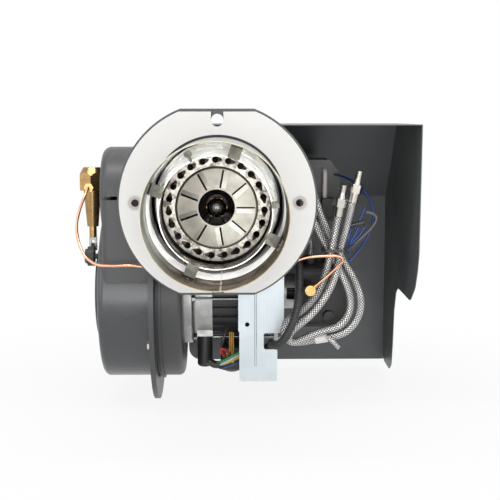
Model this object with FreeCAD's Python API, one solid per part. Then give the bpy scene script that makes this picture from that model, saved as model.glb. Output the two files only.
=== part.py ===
import FreeCAD, Part
import math
import os

# Diesel burner with a horizontal fan axis, in millimetres.
# The origin is the centre of the flange gasket's front face, on the axis of the blast tube.
# X points right, Y points back from the boiler, Z points up.

Vec = FreeCAD.Vector
ORIGIN = Vec(0, 0, 0)
RIGHT = Vec(1, 0, 0)
BACK = Vec(0, 1, 0)
UP = Vec(0, 0, 1)

# Clearances
SEAT_GAP = 0.3
RUN_FIT = 0.05

# Blast tube, whose radius drives the flange, the collar and the sleeve
TUBE_R = 89.0
TUBE_WALL = 1.2
TUBE_FRONT = -204.0
TUBE_BACK = 44.0
TUBE_STEP = 1.0
TUBE_STEP_Y = -2.0
TUBE_STEP_RUN = 2.0

# Flange and gasket
GASKET_THICK = 6.0
GASKET_R = TUBE_R + 45.0
GASKET_FLAT = TUBE_R + 34.5
PLATE_THICK = 8.0
PLATE_R = TUBE_R + 48.0
PLATE_FLAT = TUBE_R + 38.5
FLANGE_BORE_R = TUBE_R + 3.5
BOLT_PITCH = TUBE_R + 23.0
SIDE_HOLE_R = 5.25
END_HOLE_R = 8.5
HALO_R = 9.5
HALO_WIDTH = 1.5
HALO_DEPTH = 0.5

# Flared sleeve in the tube
SLEEVE_WALL = 1.2
SLEEVE_RIM_R = 70.5
SLEEVE_RIM_Y = -150.0
SLEEVE_FRONT_RUN = 30.0
SLEEVE_BACK_R = TUBE_R - 5.0
SLEEVE_BACK_Y = -4.0
SLEEVE_BACK_RUN = 12.0
SLEEVE_BEAD = 1.6
SLEEVE_BEAD_HALF = 4.0
SLEEVE_BEAD_SETBACK = 28.0
STRAP_COUNT = 4
STRAP_FIRST_ANGLE = 72.0
STRAP_STEP = 87.5
STRAP_WIDTH = 15.0
STRAP_THICK = 1.5
STRAP_LEG = 27.0
STRAP_BEND_R = 4.0
SPOT_R = 2.2
SPOT_HEIGHT = 0.5
LOCATOR_THICK = 1.5
EYE_ANGLE = 115.0
EYE_SHARE = 0.28
EYE_LENGTH = 12.0
EYE_PROUD = 2.0
EYE_FOOT = 4.0
TAB_ANGLE = 8.0
TAB_SHARE = 0.46
TAB_WIDTH = 9.0

# Diffuser disc with its vanes and louvred holes
DISC_Y = -73.0
DISC_THICK = 1.5
DISC_GAP = 1.1
DISC_R = SLEEVE_RIM_R - DISC_GAP
DISC_RIM = 7.0
DISC_HOLE_R = 23.7
DISC_COLLAR = 4.5
DISC_BEAD_INSET = 17.4
DISC_BEAD_R = DISC_R - DISC_BEAD_INSET
DISC_BEAD_HEIGHT = 0.9
DISC_BEAD_HALF = 1.7
SLOT_COUNT = 9
SLOT_FIRST_ANGLE = 79.6
SLOT_WIDTH = 2.4
SLOT_END_GAP = 0.6
VANE_WIDTH = 7.0
VANE_PRESS_INNER = 1.8
VANE_PRESS_OUTER = 4.0
LOUVRE_COUNT = 23
LOUVRE_FIRST_ANGLE = 76.0
LOUVRE_INSET = 7.4
LOUVRE_PITCH_R = DISC_R - LOUVRE_INSET
LOUVRE_HOLE_R = 4.05
LOUVRE_SKIN = 0.8
LOUVRE_TAIL = 9.0

# Nozzle line and electrodes
HOLDER_R = 9.0
HOLDER_BACK = 300.0
HOLDER_HEX = 24.0
HOLDER_HEX_BACK = -50.0
HOLDER_UNION = 10.0
HOLDER_SPIGOT = 8.0
HOLDER_SPIGOT_R = 6.3
HOLDER_BORE = 20.0
HOLDER_BORE_R = 3.6
NOZZLE_SHOULDER_Y = -68.0
NOZZLE_R = 13.0
NOZZLE_ORIFICE_R = 0.6
NOZZLE_SHANK = 14.0
NOZZLE_TIP_Y = -79.0
CARRIER_Y = -28.0
CARRIER_LENGTH = 14.0
LEG_STRAIGHT = 18.0
CARRIER_RING = 5.0
LEG_R = 2.5
LEG_FOOT_R = 4.5
LEG_FOOT_THICK = 2.5
LEG_PITCH_R = 38.0
LEG_COUNT = 3
CERAMIC_R = 5.5
CERAMIC_X = 11.0
CERAMIC_Z = -22.0
CERAMIC_FRONT = -52.0
CERAMIC_LENGTH = 74.0
ELECTRODE_R = 1.2
ELECTRODE_TAIL = 9.0
ELECTRODE_NOSE = 10.0
ELECTRODE_KNEE = (7.5, 2.0, -14.5)
ELECTRODE_TIP = (2.5, 9.0, -8.5)
CLAMP_Y = -8.0
CLAMP_THICK = 8.0
CLAMP_WALL = 4.0

# Travel of the nozzle line with the diffuser disc
HEAD_TRAVEL = 20.0


def box(x_span, y_span, z_span):
    low = Vec(x_span[0], y_span[0], z_span[0])
    size = Vec(x_span[1], y_span[1], z_span[1]).sub(low)
    return Part.makeBox(size.x, size.y, size.z, low)


def rod(radius, start, end):
    span = end.sub(start)
    return Part.makeCylinder(radius, span.Length, start, span)


def ring(outer, inner, start, end):
    span = end.sub(start)
    lead = Vec(span).normalize()
    return rod(outer, start, end).cut(rod(inner, start.sub(lead), end.add(lead)))


def placed(shape, start, direction):
    # A shape built along Z from the origin is laid along a direction.
    copy = shape.copy()
    copy.Placement = FreeCAD.Placement(start, FreeCAD.Rotation(UP, direction))
    return copy


def hex_bar(across_flats, start, end, turn=0.0):
    radius = across_flats / math.sqrt(3)
    corners = []
    for i in range(7):
        angle = math.radians(60 * i + turn)
        corners.append(Vec(radius * math.cos(angle), radius * math.sin(angle), 0))
    face = Part.Face(Part.makePolygon(corners))
    span = end.sub(start)
    return placed(face.extrude(Vec(0, 0, span.Length)), start, span)


def turned(profile, start, direction):
    # The profile is a closed run of (distance along the axis, radius).
    points = [Vec(radius, 0, along) for along, radius in profile]
    points.append(points[0])
    face = Part.Face(Part.makePolygon(points))
    return placed(face.revolve(ORIGIN, UP, 360), start, direction)


def spun_sheet(profile, thick, start, direction):
    inner = [(along, radius - thick) for along, radius in reversed(profile)]
    return turned(profile + inner, start, direction)


def rounded_outline(corners):
    # A closed wire through (point, radius) corners, with tangent arcs at the rounded ones.
    edges = []
    count = len(corners)
    starts = []
    ends = []
    mids = []
    for i in range(count):
        point, radius = corners[i]
        before = point.sub(corners[i - 1][0])
        after = corners[(i + 1) % count][0].sub(point)
        before.normalize()
        after.normalize()
        half = before.getAngle(after) / 2
        tangent = radius * math.tan(half)
        starts.append(point.sub(before * tangent))
        ends.append(point.add(after * tangent))
        inward = after.sub(before)
        if radius > 0:
            inward.normalize()
            mids.append(point.add(inward * (radius / math.cos(half) - radius)))
        else:
            mids.append(None)
    for i in range(count):
        if mids[i]:
            edges.append(Part.Arc(starts[i], mids[i], ends[i]).toShape())
        following = starts[(i + 1) % count]
        if ends[i].sub(following).Length > 0.001:
            edges.append(Part.LineSegment(ends[i], following).toShape())
    return Part.Wire(edges)


def plate_y(corners, y_span):
    # Corners are (x, z, radius) and the plate runs from the first y to the second.
    wire = rounded_outline([(Vec(x, y_span[0], z), radius) for x, z, radius in corners])
    return Part.Face(wire).extrude(Vec(0, y_span[1] - y_span[0], 0))


def plate_x(corners, x_span):
    # Corners are (y, z, radius).
    wire = rounded_outline([(Vec(x_span[0], y, z), radius) for y, z, radius in corners])
    return Part.Face(wire).extrude(Vec(x_span[1] - x_span[0], 0, 0))


def plate_z(corners, z_span):
    # Corners are (x, y, radius).
    wire = rounded_outline([(Vec(x, y, z_span[0]), radius) for x, y, radius in corners])
    return Part.Face(wire).extrude(Vec(0, 0, z_span[1] - z_span[0]))


def rounded_box(x_span, y_span, z_span, radius):
    solid = box(x_span, y_span, z_span)
    return solid.makeFillet(radius, solid.Edges)


def about_tube(shape, angle):
    # Turns a shape about the blast tube's axis, counter-clockwise as seen from the boiler.
    copy = shape.copy()
    copy.rotate(ORIGIN, BACK, -angle)
    return copy


def joined(shapes):
    first = shapes[0]
    return first.multiFuse(shapes[1:]).removeSplitter()


def bent_path(points):
    # Straight runs joined by tangent arcs, each as large as its two runs allow.
    edges = []
    radii = []
    here = points[0]
    for i in range(1, len(points) - 1):
        before = points[i].sub(points[i - 1])
        after = points[i + 1].sub(points[i])
        tangent = 0.45 * min(before.Length, after.Length)
        half = before.getAngle(after) / 2
        radius = tangent / math.tan(half)
        before.normalize()
        after.normalize()
        inward = after.sub(before).normalize()
        start = points[i].sub(before * tangent)
        end = points[i].add(after * tangent)
        middle = points[i].add(inward * (radius / math.cos(half) - radius))
        edges.append(Part.LineSegment(here, start).toShape())
        edges.append(Part.Arc(start, middle, end).toShape())
        radii.append(radius)
        here = end
    edges.append(Part.LineSegment(here, points[-1]).toShape())
    return Part.Wire(edges), radii


def round_pipe(points, diameter, name):
    path, radii = bent_path(points)
    section = Part.makeCircle(diameter / 2, points[0], points[1].sub(points[0]))
    solid = path.makePipeShell([Part.Wire([section])], True, False)
    ideal = math.pi * diameter ** 2 / 4 * path.Length
    smallest = min(radii)
    print(name, "length", round(path.Length, 1), "volume ratio", round(solid.Volume / ideal, 4),
          "smallest radius", round(smallest, 1), "in diameters", round(smallest / diameter, 2))
    return solid


def flange_outline(radius, flat, y_span):
    disc = rod(radius, Vec(0, y_span[0], 0), Vec(0, y_span[1], 0))
    return disc.common(box((-radius, radius), y_span, (-flat, flat)))


def bolt_hole(x, z, radius, y_span):
    return rod(radius, Vec(x, y_span[0] - 1, z), Vec(x, y_span[1] + 1, z))


def flange_gasket():
    span = (0, GASKET_THICK)
    body = flange_outline(GASKET_R, GASKET_FLAT, span)
    body = body.cut(bolt_hole(0, 0, FLANGE_BORE_R, span))
    for side in (-1, 1):
        body = body.cut(bolt_hole(side * BOLT_PITCH, 0, SIDE_HOLE_R, span))
        body = body.cut(bolt_hole(0, side * BOLT_PITCH, END_HOLE_R, span))
        edge = side * (GASKET_FLAT + 1)
        low = min(side * BOLT_PITCH, edge)
        high = max(side * BOLT_PITCH, edge)
        body = body.cut(box((-END_HOLE_R, END_HOLE_R), (-1, GASKET_THICK + 1), (low, high)))
        body = body.cut(ring(HALO_R, HALO_R - HALO_WIDTH, Vec(side * BOLT_PITCH, -1, 0),
                             Vec(side * BOLT_PITCH, HALO_DEPTH, 0)))
    return body


def flange_plate():
    span = (GASKET_THICK, GASKET_THICK + PLATE_THICK)
    body = flange_outline(PLATE_R, PLATE_FLAT, span)
    body = body.cut(bolt_hole(0, 0, FLANGE_BORE_R, span))
    for side in (-1, 1):
        body = body.cut(bolt_hole(side * BOLT_PITCH, 0, SIDE_HOLE_R, span))
        body = body.cut(bolt_hole(0, side * BOLT_PITCH, END_HOLE_R, span))
    for x, z in lug_centres():
        body = body.cut(bolt_hole(x, z, LUG_SCREW_R + SEAT_GAP, span))
    return body


def blast_tube():
    # Behind the flange the tube is drawn in a little, so that it slides into the collar.
    step = TUBE_STEP_Y - TUBE_FRONT
    length = TUBE_BACK - TUBE_FRONT
    drawn_r = TUBE_R - TUBE_STEP
    profile = [(0, TUBE_R), (step, TUBE_R), (step + TUBE_STEP_RUN, drawn_r), (length, drawn_r)]
    return spun_sheet(profile, TUBE_WALL, Vec(0, TUBE_FRONT, 0), BACK)


def sleeve_radius(y):
    # Outer radius of the sleeve where it flares between its two cylindrical ends.
    flare_start = SLEEVE_RIM_Y + SLEEVE_FRONT_RUN
    flare_end = SLEEVE_BACK_Y - SLEEVE_BACK_RUN
    share = (y - flare_start) / (flare_end - flare_start)
    share = max(0.0, min(1.0, share))
    return SLEEVE_RIM_R + (SLEEVE_BACK_R - SLEEVE_RIM_R) * share


def head_sleeve():
    bead_y = DISC_Y - SLEEVE_BEAD_SETBACK
    profile = []
    for y in (SLEEVE_RIM_Y, SLEEVE_RIM_Y + SLEEVE_FRONT_RUN, bead_y - SLEEVE_BEAD_HALF):
        profile.append((y - SLEEVE_RIM_Y, sleeve_radius(y)))
    profile.append((bead_y - SLEEVE_RIM_Y, sleeve_radius(bead_y) - SLEEVE_BEAD))
    for y in (bead_y + SLEEVE_BEAD_HALF, SLEEVE_BACK_Y - SLEEVE_BACK_RUN, SLEEVE_BACK_Y):
        profile.append((y - SLEEVE_RIM_Y, sleeve_radius(y)))
    return spun_sheet(profile, SLEEVE_WALL, Vec(0, SLEEVE_RIM_Y, 0), BACK)


def sleeve_straps():
    inner = SLEEVE_RIM_R - SLEEVE_WALL
    outer = math.sqrt((TUBE_R - TUBE_WALL) ** 2 - (STRAP_WIDTH / 2) ** 2) - 0.1
    back = SLEEVE_RIM_Y
    front = SLEEVE_RIM_Y - STRAP_LEG
    inside_bend = STRAP_BEND_R - STRAP_THICK
    corners = [
        (Vec(inner, back, 0), 0),
        (Vec(outer, back, 0), STRAP_BEND_R),
        (Vec(outer, front, 0), 0),
        (Vec(outer - STRAP_THICK, front, 0), 0),
        (Vec(outer - STRAP_THICK, back - STRAP_THICK, 0), inside_bend),
        (Vec(inner, back - STRAP_THICK, 0), 0),
    ]
    strap = Part.Face(rounded_outline(corners)).extrude(Vec(0, 0, STRAP_WIDTH))
    strap.translate(Vec(0, 0, -STRAP_WIDTH / 2))
    spot_y = front + STRAP_LEG * 0.4
    leg_face = outer - STRAP_THICK
    spot = rod(SPOT_R, Vec(leg_face - SPOT_HEIGHT, spot_y, 0), Vec(leg_face + 0.2, spot_y, 0))
    strap = strap.fuse(spot)
    shapes = []
    for i in range(STRAP_COUNT):
        shapes.append(about_tube(strap, STRAP_FIRST_ANGLE + i * STRAP_STEP))
    return Part.makeCompound(shapes)


def sleeve_locators():
    # A round stub and a small tab stand on the sleeve's rim, between it and the tube.
    gap = TUBE_R - TUBE_WALL - SLEEVE_RIM_R
    stub_r = SLEEVE_RIM_R + gap / 2
    eye_r = gap * EYE_SHARE
    front = SLEEVE_RIM_Y - EYE_PROUD
    stub = rod(eye_r, Vec(stub_r, front, 0), Vec(stub_r, front + EYE_LENGTH, 0))
    stub = stub.cut(rod(eye_r / 2, Vec(stub_r, front - 1, 0), Vec(stub_r, SLEEVE_RIM_Y + EYE_PROUD, 0)))
    foot_start = SLEEVE_RIM_R - SLEEVE_WALL
    foot_y = (SLEEVE_RIM_Y - LOCATOR_THICK, SLEEVE_RIM_Y)
    foot = box((foot_start, stub_r - 0.7 * eye_r), foot_y, (-EYE_FOOT / 2, EYE_FOOT / 2))
    tab = box((foot_start, SLEEVE_RIM_R + gap * TAB_SHARE), foot_y, (-TAB_WIDTH / 2, TAB_WIDTH / 2))
    return Part.makeCompound([about_tube(stub.fuse(foot), EYE_ANGLE), about_tube(tab, TAB_ANGLE)])


def vane_span():
    # Along the radius, from the collar to the foot of the bead.
    return DISC_HOLE_R + DISC_THICK + SLOT_END_GAP, DISC_BEAD_R - DISC_BEAD_HALF - SLOT_END_GAP


def vane_opening():
    depth = (DISC_Y - 1, DISC_Y + DISC_THICK + 1)
    return box(vane_span(), depth, (-VANE_WIDTH, SLOT_WIDTH / 2))


def vane_section(x, press):
    # One edge stays on the sheet, the other is pressed back and leaves the slot beside it.
    edge = -SLOT_WIDTH / 2
    front = [Vec(x, DISC_Y, -VANE_WIDTH), Vec(x, DISC_Y + press, edge)]
    back = [point.add(Vec(0, DISC_THICK, 0)) for point in reversed(front)]
    return Part.makePolygon(front + back + [front[0]])


def twisted_vane():
    inner, outer = vane_span()
    sections = [vane_section(inner, VANE_PRESS_INNER), vane_section(outer, VANE_PRESS_OUTER)]
    return Part.makeLoft(sections, True, True)


def louvre_cone(extra):
    start = Vec(LOUVRE_PITCH_R, DISC_Y, 0)
    return Part.makeCone(LOUVRE_HOLE_R + extra, 0.3 + extra, LOUVRE_TAIL, start, Vec(0, 0, -1))


def pressed_sheet():
    # Flat sheet with a turned-back rim, a collar round the centre hole and a raised bead.
    thick = DISC_THICK
    profile = [
        (0, DISC_HOLE_R), (0, DISC_BEAD_R - DISC_BEAD_HALF), (-DISC_BEAD_HEIGHT, DISC_BEAD_R),
        (0, DISC_BEAD_R + DISC_BEAD_HALF), (0, DISC_R), (DISC_RIM, DISC_R), (DISC_RIM, DISC_R - thick),
        (thick, DISC_R - thick), (thick, DISC_HOLE_R + thick), (DISC_COLLAR, DISC_HOLE_R + thick),
        (DISC_COLLAR, DISC_HOLE_R),
    ]
    return turned(profile, Vec(0, DISC_Y, 0), BACK)


def diffuser_disc():
    front = DISC_Y - 2 * LOUVRE_HOLE_R
    back = DISC_Y + DISC_THICK
    front_half = box((0, 2 * DISC_R), (front, DISC_Y + DISC_THICK / 3), (-DISC_R, DISC_R))
    hood = louvre_cone(LOUVRE_SKIN).common(front_half)
    hole = rod(LOUVRE_HOLE_R, Vec(LOUVRE_PITCH_R, front, 0), Vec(LOUVRE_PITCH_R, back + 1, 0))
    disc = pressed_sheet()
    for i in range(LOUVRE_COUNT):
        angle = LOUVRE_FIRST_ANGLE + i * 360 / LOUVRE_COUNT
        disc = disc.fuse(about_tube(hood, angle))
        disc = disc.cut(about_tube(hole, angle))
        disc = disc.cut(about_tube(louvre_cone(0), angle))
    for i in range(SLOT_COUNT):
        angle = SLOT_FIRST_ANGLE + i * 360 / SLOT_COUNT
        disc = disc.cut(about_tube(vane_opening(), angle))
        disc = disc.fuse(about_tube(twisted_vane(), angle))
    return disc


def nozzle():
    shoulder = Vec(0, NOZZLE_SHOULDER_Y, 0)
    tip = Vec(0, NOZZLE_TIP_Y, 0)
    ball = Part.makeSphere(NOZZLE_R, tip.add(BACK * NOZZLE_R)).common(rod(NOZZLE_R, tip, shoulder))
    shank = rod(HOLDER_R / 2, shoulder, shoulder.add(BACK * NOZZLE_SHANK))
    orifice = rod(NOZZLE_ORIFICE_R, tip.sub(BACK), shoulder)
    return joined([ball, shank]).cut(orifice)


def nozzle_holder():
    socket_r = HOLDER_R / 2 + RUN_FIT
    head = hex_bar(HOLDER_HEX, Vec(0, NOZZLE_SHOULDER_Y, 0), Vec(0, HOLDER_HEX_BACK, 0))
    socket_back = NOZZLE_SHOULDER_Y + NOZZLE_SHANK
    head = head.cut(rod(socket_r, Vec(0, NOZZLE_SHOULDER_Y - 1, 0), Vec(0, socket_back, 0)))
    pipe = rod(HOLDER_R, Vec(0, HOLDER_HEX_BACK, 0), Vec(0, HOLDER_BACK, 0))
    union_back = HOLDER_BACK + HOLDER_UNION
    spigot_back = union_back + HOLDER_SPIGOT
    union = hex_bar(HOLDER_HEX, Vec(0, HOLDER_BACK, 0), Vec(0, union_back, 0))
    spigot = rod(HOLDER_SPIGOT_R, Vec(0, union_back, 0), Vec(0, spigot_back, 0))
    bore = rod(HOLDER_BORE_R, Vec(0, HOLDER_BACK - HOLDER_BORE, 0), Vec(0, spigot_back + 1, 0))
    return joined([head, pipe, union, spigot]).cut(bore)


def disc_carrier():
    ring_r = HOLDER_R + CARRIER_RING
    ring_back = CARRIER_Y + CARRIER_LENGTH
    hub = rod(ring_r, Vec(0, CARRIER_Y, 0), Vec(0, ring_back, 0))
    shapes = [hub]
    foot_y = DISC_Y + DISC_THICK
    for i in range(LEG_COUNT):
        angle = SLOT_FIRST_ANGLE + 180 / SLOT_COUNT + i * 360 / LEG_COUNT
        foot = rod(LEG_FOOT_R, Vec(LEG_PITCH_R, foot_y, 0), Vec(LEG_PITCH_R, foot_y + LEG_FOOT_THICK, 0))
        start = Vec(LEG_PITCH_R, foot_y + LEG_FOOT_THICK, 0)
        knee = Vec(LEG_PITCH_R, foot_y + LEG_STRAIGHT, 0)
        end = Vec(HOLDER_R + LEG_R, CARRIER_Y + CARRIER_LENGTH / 2, 0)
        leg = joined([rod(LEG_R, start.sub(Vec(0, 1, 0)), knee), Part.makeSphere(LEG_R, knee),
                      rod(LEG_R, knee, end)])
        shapes.append(about_tube(foot.fuse(leg), angle))
    body = joined(shapes)
    return body.cut(rod(HOLDER_R, Vec(0, foot_y, 0), Vec(0, ring_back + 1, 0)))


def electrode_ceramics():
    shapes = []
    for side in (-1, 1):
        start = Vec(side * CERAMIC_X, CERAMIC_FRONT, CERAMIC_Z)
        end = start.add(Vec(0, CERAMIC_LENGTH, 0))
        body = rod(CERAMIC_R, start, end)
        nose = Part.makeCone(CERAMIC_R * 0.5, CERAMIC_R, 6, start.sub(Vec(0, 6, 0)), BACK)
        bore = rod(ELECTRODE_R, start.sub(Vec(0, 7, 0)), end.add(BACK))
        shapes.append(body.fuse(nose).cut(bore))
    return Part.makeCompound(shapes)


def electrode_rods():
    # The knee and the tip are given as a sideways reach, a distance before the disc and a height.
    shapes = []
    for side in (-1, 1):
        points = [
            Vec(side * CERAMIC_X, CERAMIC_FRONT + CERAMIC_LENGTH + ELECTRODE_TAIL, CERAMIC_Z),
            Vec(side * CERAMIC_X, CERAMIC_FRONT - ELECTRODE_NOSE, CERAMIC_Z),
            Vec(side * ELECTRODE_KNEE[0], DISC_Y - ELECTRODE_KNEE[1], ELECTRODE_KNEE[2]),
            Vec(side * ELECTRODE_TIP[0], DISC_Y - ELECTRODE_TIP[1], ELECTRODE_TIP[2]),
        ]
        path, radii = bent_path(points)
        circle = Part.makeCircle(ELECTRODE_R, points[0], points[1].sub(points[0]))
        shapes.append(path.makePipeShell([Part.Wire([circle])], True, False))
    return Part.makeCompound(shapes)


def electrode_clamp():
    front = CLAMP_Y
    back = CLAMP_Y + CLAMP_THICK
    outer = HOLDER_R + CLAMP_WALL
    shapes = [rod(outer, Vec(0, front, 0), Vec(0, back, 0))]
    for side in (-1, 1):
        centre = Vec(side * CERAMIC_X, front, CERAMIC_Z)
        shapes.append(rod(CERAMIC_R + CLAMP_WALL, centre, centre.add(Vec(0, CLAMP_THICK, 0))))
    shapes.append(box((-CERAMIC_X, CERAMIC_X), (front, back), (CERAMIC_Z - 6, 0)))
    body = joined(shapes)
    body = body.cut(rod(HOLDER_R, Vec(0, front - 1, 0), Vec(0, back + 1, 0)))
    for side in (-1, 1):
        start = Vec(side * CERAMIC_X, front - 1, CERAMIC_Z)
        body = body.cut(rod(CERAMIC_R, start, start.add(Vec(0, CLAMP_THICK + 2, 0))))
    return body


# Cast head body behind the flange
COLLAR_R = TUBE_R + 8.0
COLLAR_BACK = 46.0
LUG_PITCH_R = TUBE_R + 16.5
LUG_R = 10.0
LUG_THICK = 12.0
LUG_SCREW_R = 4.0
LUG_SCREW_HEX = 13.0
LUG_SCREW_HEAD = 5.5
BODY_WALL = 5.0
BODY_BACK = 245.0
BODY_LEFT = -88.0
BODY_STEP_X = -50.0
BODY_RIGHT = 92.0
BODY_TOP = 80.0
BODY_STEP_Z = -18.0
BODY_BOTTOM = -68.0
BODY_CORNER = 14.0

# Rear cover of the head body
COVER_THICK = 8.0
GUIDE_R = 16.0
GUIDE_LENGTH = 22.0
SEAT_WALL = 4.0
SEAT_HEIGHT = 4.0
SEAT_LEDGE = 3.0
SENSOR_IN = 6.0
COVER_SCREW_R = 3.0
COVER_SCREW_HEAD = 5.0
COVER_SCREW_HEIGHT = 4.0
SIGHT_R = 14.0
SIGHT_X = 48.0
SIGHT_Z = 46.0
SENSOR_R = 9.5
SENSOR_X = -32.0
SENSOR_Z = 44.0
SENSOR_LENGTH = 24.0

# Fan scroll
FAN_Y = 175.0
FAN_Z = -150.0
DRUM_R = 128.0
DRUM_WALL = 4.0
DRUM_LEFT = -173.0
DISC_LEFT = -97.0
DISC_RIGHT = -90.0
BIG_DISC_R = 163.5
DRUM_RIGHT = -52.0
DRUM_EDGE = 9.0
SERVICE_R = 60.0
COVER_DISC_LAP = 11.0
COVER_DISC_THICK = 10.0
COVER_DISC_ROUND = 4.0
COVER_RECESS_RIM = 14.0
COVER_RECESS_DEPTH = 3.0
COVER_BOSS_R = 16.0
INLET_PLATE_X = -122.0
INLET_PLATE_THICK = 2.5
INLET_R = 54.0
INLET_LIP = 9.0
OUTLET_X = (-84.0, -60.0)
OUTLET_Y = (128.0, 222.0)
OUTLET_WALL = 4.0
OUTLET_LAP = 12.0
SHAFT_HOLE_GAP = 4.0
DRUM_RIB = 4.0
DRUM_RIB_ENDS = 8.0
SCROLL_SCREW_COUNT = 8
SCROLL_SCREW_R = 3.0
SCROLL_SCREW_HEAD = 5.0
SCROLL_LUG_R = 150.0

# Intake housing over the scroll
BARREL_R = 68.0
BARREL_Y = 122.0
BARREL_Z = 5.0
BARREL_LEFT = -168.0
BARREL_WALL = 4.0
WELL_INSET = 60.0
DRUM_SPACE_OVER = 20.0
BODY_NOTCH_FRONT = 20.0
GRILLE_LEFT_EDGE = 14.0
GRILLE_RIGHT_EDGE = 10.0
GRILLE_START = 20.0
NECK_ROUND = 8.0
BARREL_EDGE = 12.0
NECK_LEFT = -165.0
NECK_FRONT = 50.0
NECK_BACK = 188.0
NECK_BOTTOM = -118.0
NECK_TOP = 0.0
GRILLE_SLOTS = 6
GRILLE_SLOT = 9.0
GRILLE_BAR = 6.0

# Air damper in the scroll's inlet chamber
DAMPER_Y = 118.0
DAMPER_Z = -88.0
DAMPER_CHORD = 68.0
DAMPER_THICK = 2.5
THROAT_HALF = 36.0
THROAT_WALL = 3.0
THROAT_INSET = 3.0
MOUTH_IN = 15.0
MOUTH_OUT = 10.0
THROAT_TIE = 20.0
THROAT_INNER_R = 66.0
SPINDLE_R = 4.0
HUB_R = 14.5
HUB_X = (-193.0, -183.5)
ARM_X = (-190.5, -186.5)
ARM_REACH = 26.0
ARM_HALF = 4.5
ARM_TIP = 7.0
PIN_R = 2.5
PIN_PLAY = 0.5
DAMPER_HALF_SWING = 22.0

# Hydraulic ram that opens the damper
RAM_X = -188.5
RAM_BRACKET_THICK = 3.5
RAM_BRACKET_HALF = 16.0
RAM_BRACKET_FOOT = 10.0
RAM_BRACKET_TOP_DROP = 6.0
RAM_BRACKET_ROUND = 4.0
RAM_BEVEL_HEIGHT = 12.0
RAM_BEVEL_IN = 7.0
RAM_SPIGOT_LENGTH = 14.0
RAM_LUG_LAP = 6.0
RAM_LUG_HALF = 9.0
RAM_LUG_DROP = 14.0
RAM_BORE = 50.0
RAM_ROD_IN = 48.0
FORK_PLAY = 0.3
RAM_HEX = 34.0
RAM_TOP = 42.0
RAM_HEX_BOTTOM = 8.0
RAM_BODY_BOTTOM = -46.0
RAM_BODY_TOP_R = 13.0
RAM_BODY_BOTTOM_R = 8.5
RAM_NIPPLE_BOTTOM = -62.0
RAM_NIPPLE_R = 5.5
RAM_ROD_R = 3.0
RAM_PIPE_Z = 14.0
RAM_SPIGOT_R = 5.0
RAM_NUT_HEX = 12.0
RAM_NUT_LENGTH = 9.0
FORK_WALL = 3.2
FORK_HALF = 5.0
FORK_BRIDGE = 4.0

# Fan wheel
WHEEL_X = (-112.0, -66.0)
WHEEL_R = 88.0
WHEEL_INNER_R = 70.0
WHEEL_PLATE = 2.0
BLADE_COUNT = 32
BLADE_THICK = 1.2
BLADE_BELLY = (1.0, -4.0)
BLADE_TIP = (-0.5, 2.5)
WHEEL_HUB_R = 14.0
SHAFT_R = 7.0
SHAFT_REACH = 34.0


def lug_centres():
    reach = LUG_PITCH_R * math.sqrt(0.5)
    return [(-reach, -reach), (reach, -reach), (reach, reach), (-reach, reach)]


def body_corners(inset):
    left = BODY_LEFT + inset
    right = BODY_RIGHT - inset
    top = BODY_TOP - inset
    bottom = BODY_BOTTOM + inset
    step_x = BODY_STEP_X + inset
    step_z = BODY_STEP_Z + inset
    round_r = BODY_CORNER - inset
    return [(left, step_z, round_r), (step_x, step_z, BODY_WALL), (step_x, bottom, round_r),
            (right, bottom, round_r), (right, top, round_r), (left, top, round_r)]


def head_body():
    plate_back = GASKET_THICK + PLATE_THICK
    collar = rod(COLLAR_R, Vec(0, plate_back, 0), Vec(0, COLLAR_BACK, 0))
    shapes = [collar, plate_y(body_corners(0), (COLLAR_BACK, BODY_BACK))]
    for x, z in lug_centres():
        lug = rod(LUG_R, Vec(x, plate_back, z), Vec(x, plate_back + LUG_THICK, z))
        shapes.append(lug)
    body = joined(shapes)
    chamber = plate_y(body_corners(BODY_WALL), (COLLAR_BACK, BODY_BACK + 1))
    bore = rod(TUBE_R - TUBE_STEP + SEAT_GAP, Vec(0, plate_back - 1, 0), Vec(0, TUBE_BACK, 0))
    throat = rod(SLEEVE_BACK_R, Vec(0, TUBE_BACK - 1, 0), Vec(0, COLLAR_BACK + 1, 0))
    throat = throat.common(plate_y(body_corners(BODY_WALL), (TUBE_BACK - 1, COLLAR_BACK + 1)))
    body = body.cut([chamber, bore, throat])
    for x, z in lug_centres():
        body = body.cut(bolt_hole(x, z, LUG_SCREW_R, (plate_back, plate_back + LUG_THICK)))
    outlet = box(OUTLET_X, OUTLET_Y, (BODY_STEP_Z - 1, BODY_STEP_Z + BODY_WALL + 1))
    body = body.cut(outlet)
    rib_step = (BODY_BACK - COLLAR_BACK) / 4
    for i in range(1, 4):
        rib_y = COLLAR_BACK + i * rib_step
        rib = box((BODY_LEFT + BODY_CORNER, BODY_RIGHT - BODY_CORNER),
                  (rib_y - 1.5, rib_y + 1.5), (BODY_TOP - 1, BODY_TOP + 3))
        body = body.fuse(rib)
    return body.removeSplitter()


def flange_screws():
    # Hexagon screws hold the flange plate to the lugs of the head body.
    plate_back = GASKET_THICK + PLATE_THICK
    head_y = plate_back + LUG_THICK
    shapes = []
    for x, z in lug_centres():
        shank = rod(LUG_SCREW_R - 0.1, Vec(x, GASKET_THICK, z), Vec(x, head_y, z))
        head = hex_bar(LUG_SCREW_HEX, Vec(x, head_y, z), Vec(x, head_y + LUG_SCREW_HEAD, z))
        shapes.append(shank.fuse(head))
    return Part.makeCompound(shapes)


def cover_screw_places():
    near = BODY_CORNER / 2 + 1
    return [(BODY_LEFT + near, BODY_TOP - near), (BODY_RIGHT - near, BODY_TOP - near),
            (BODY_RIGHT - near, BODY_BOTTOM + near), (BODY_STEP_X + near, BODY_BOTTOM + near),
            (BODY_LEFT + near, BODY_STEP_Z + near)]


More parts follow.
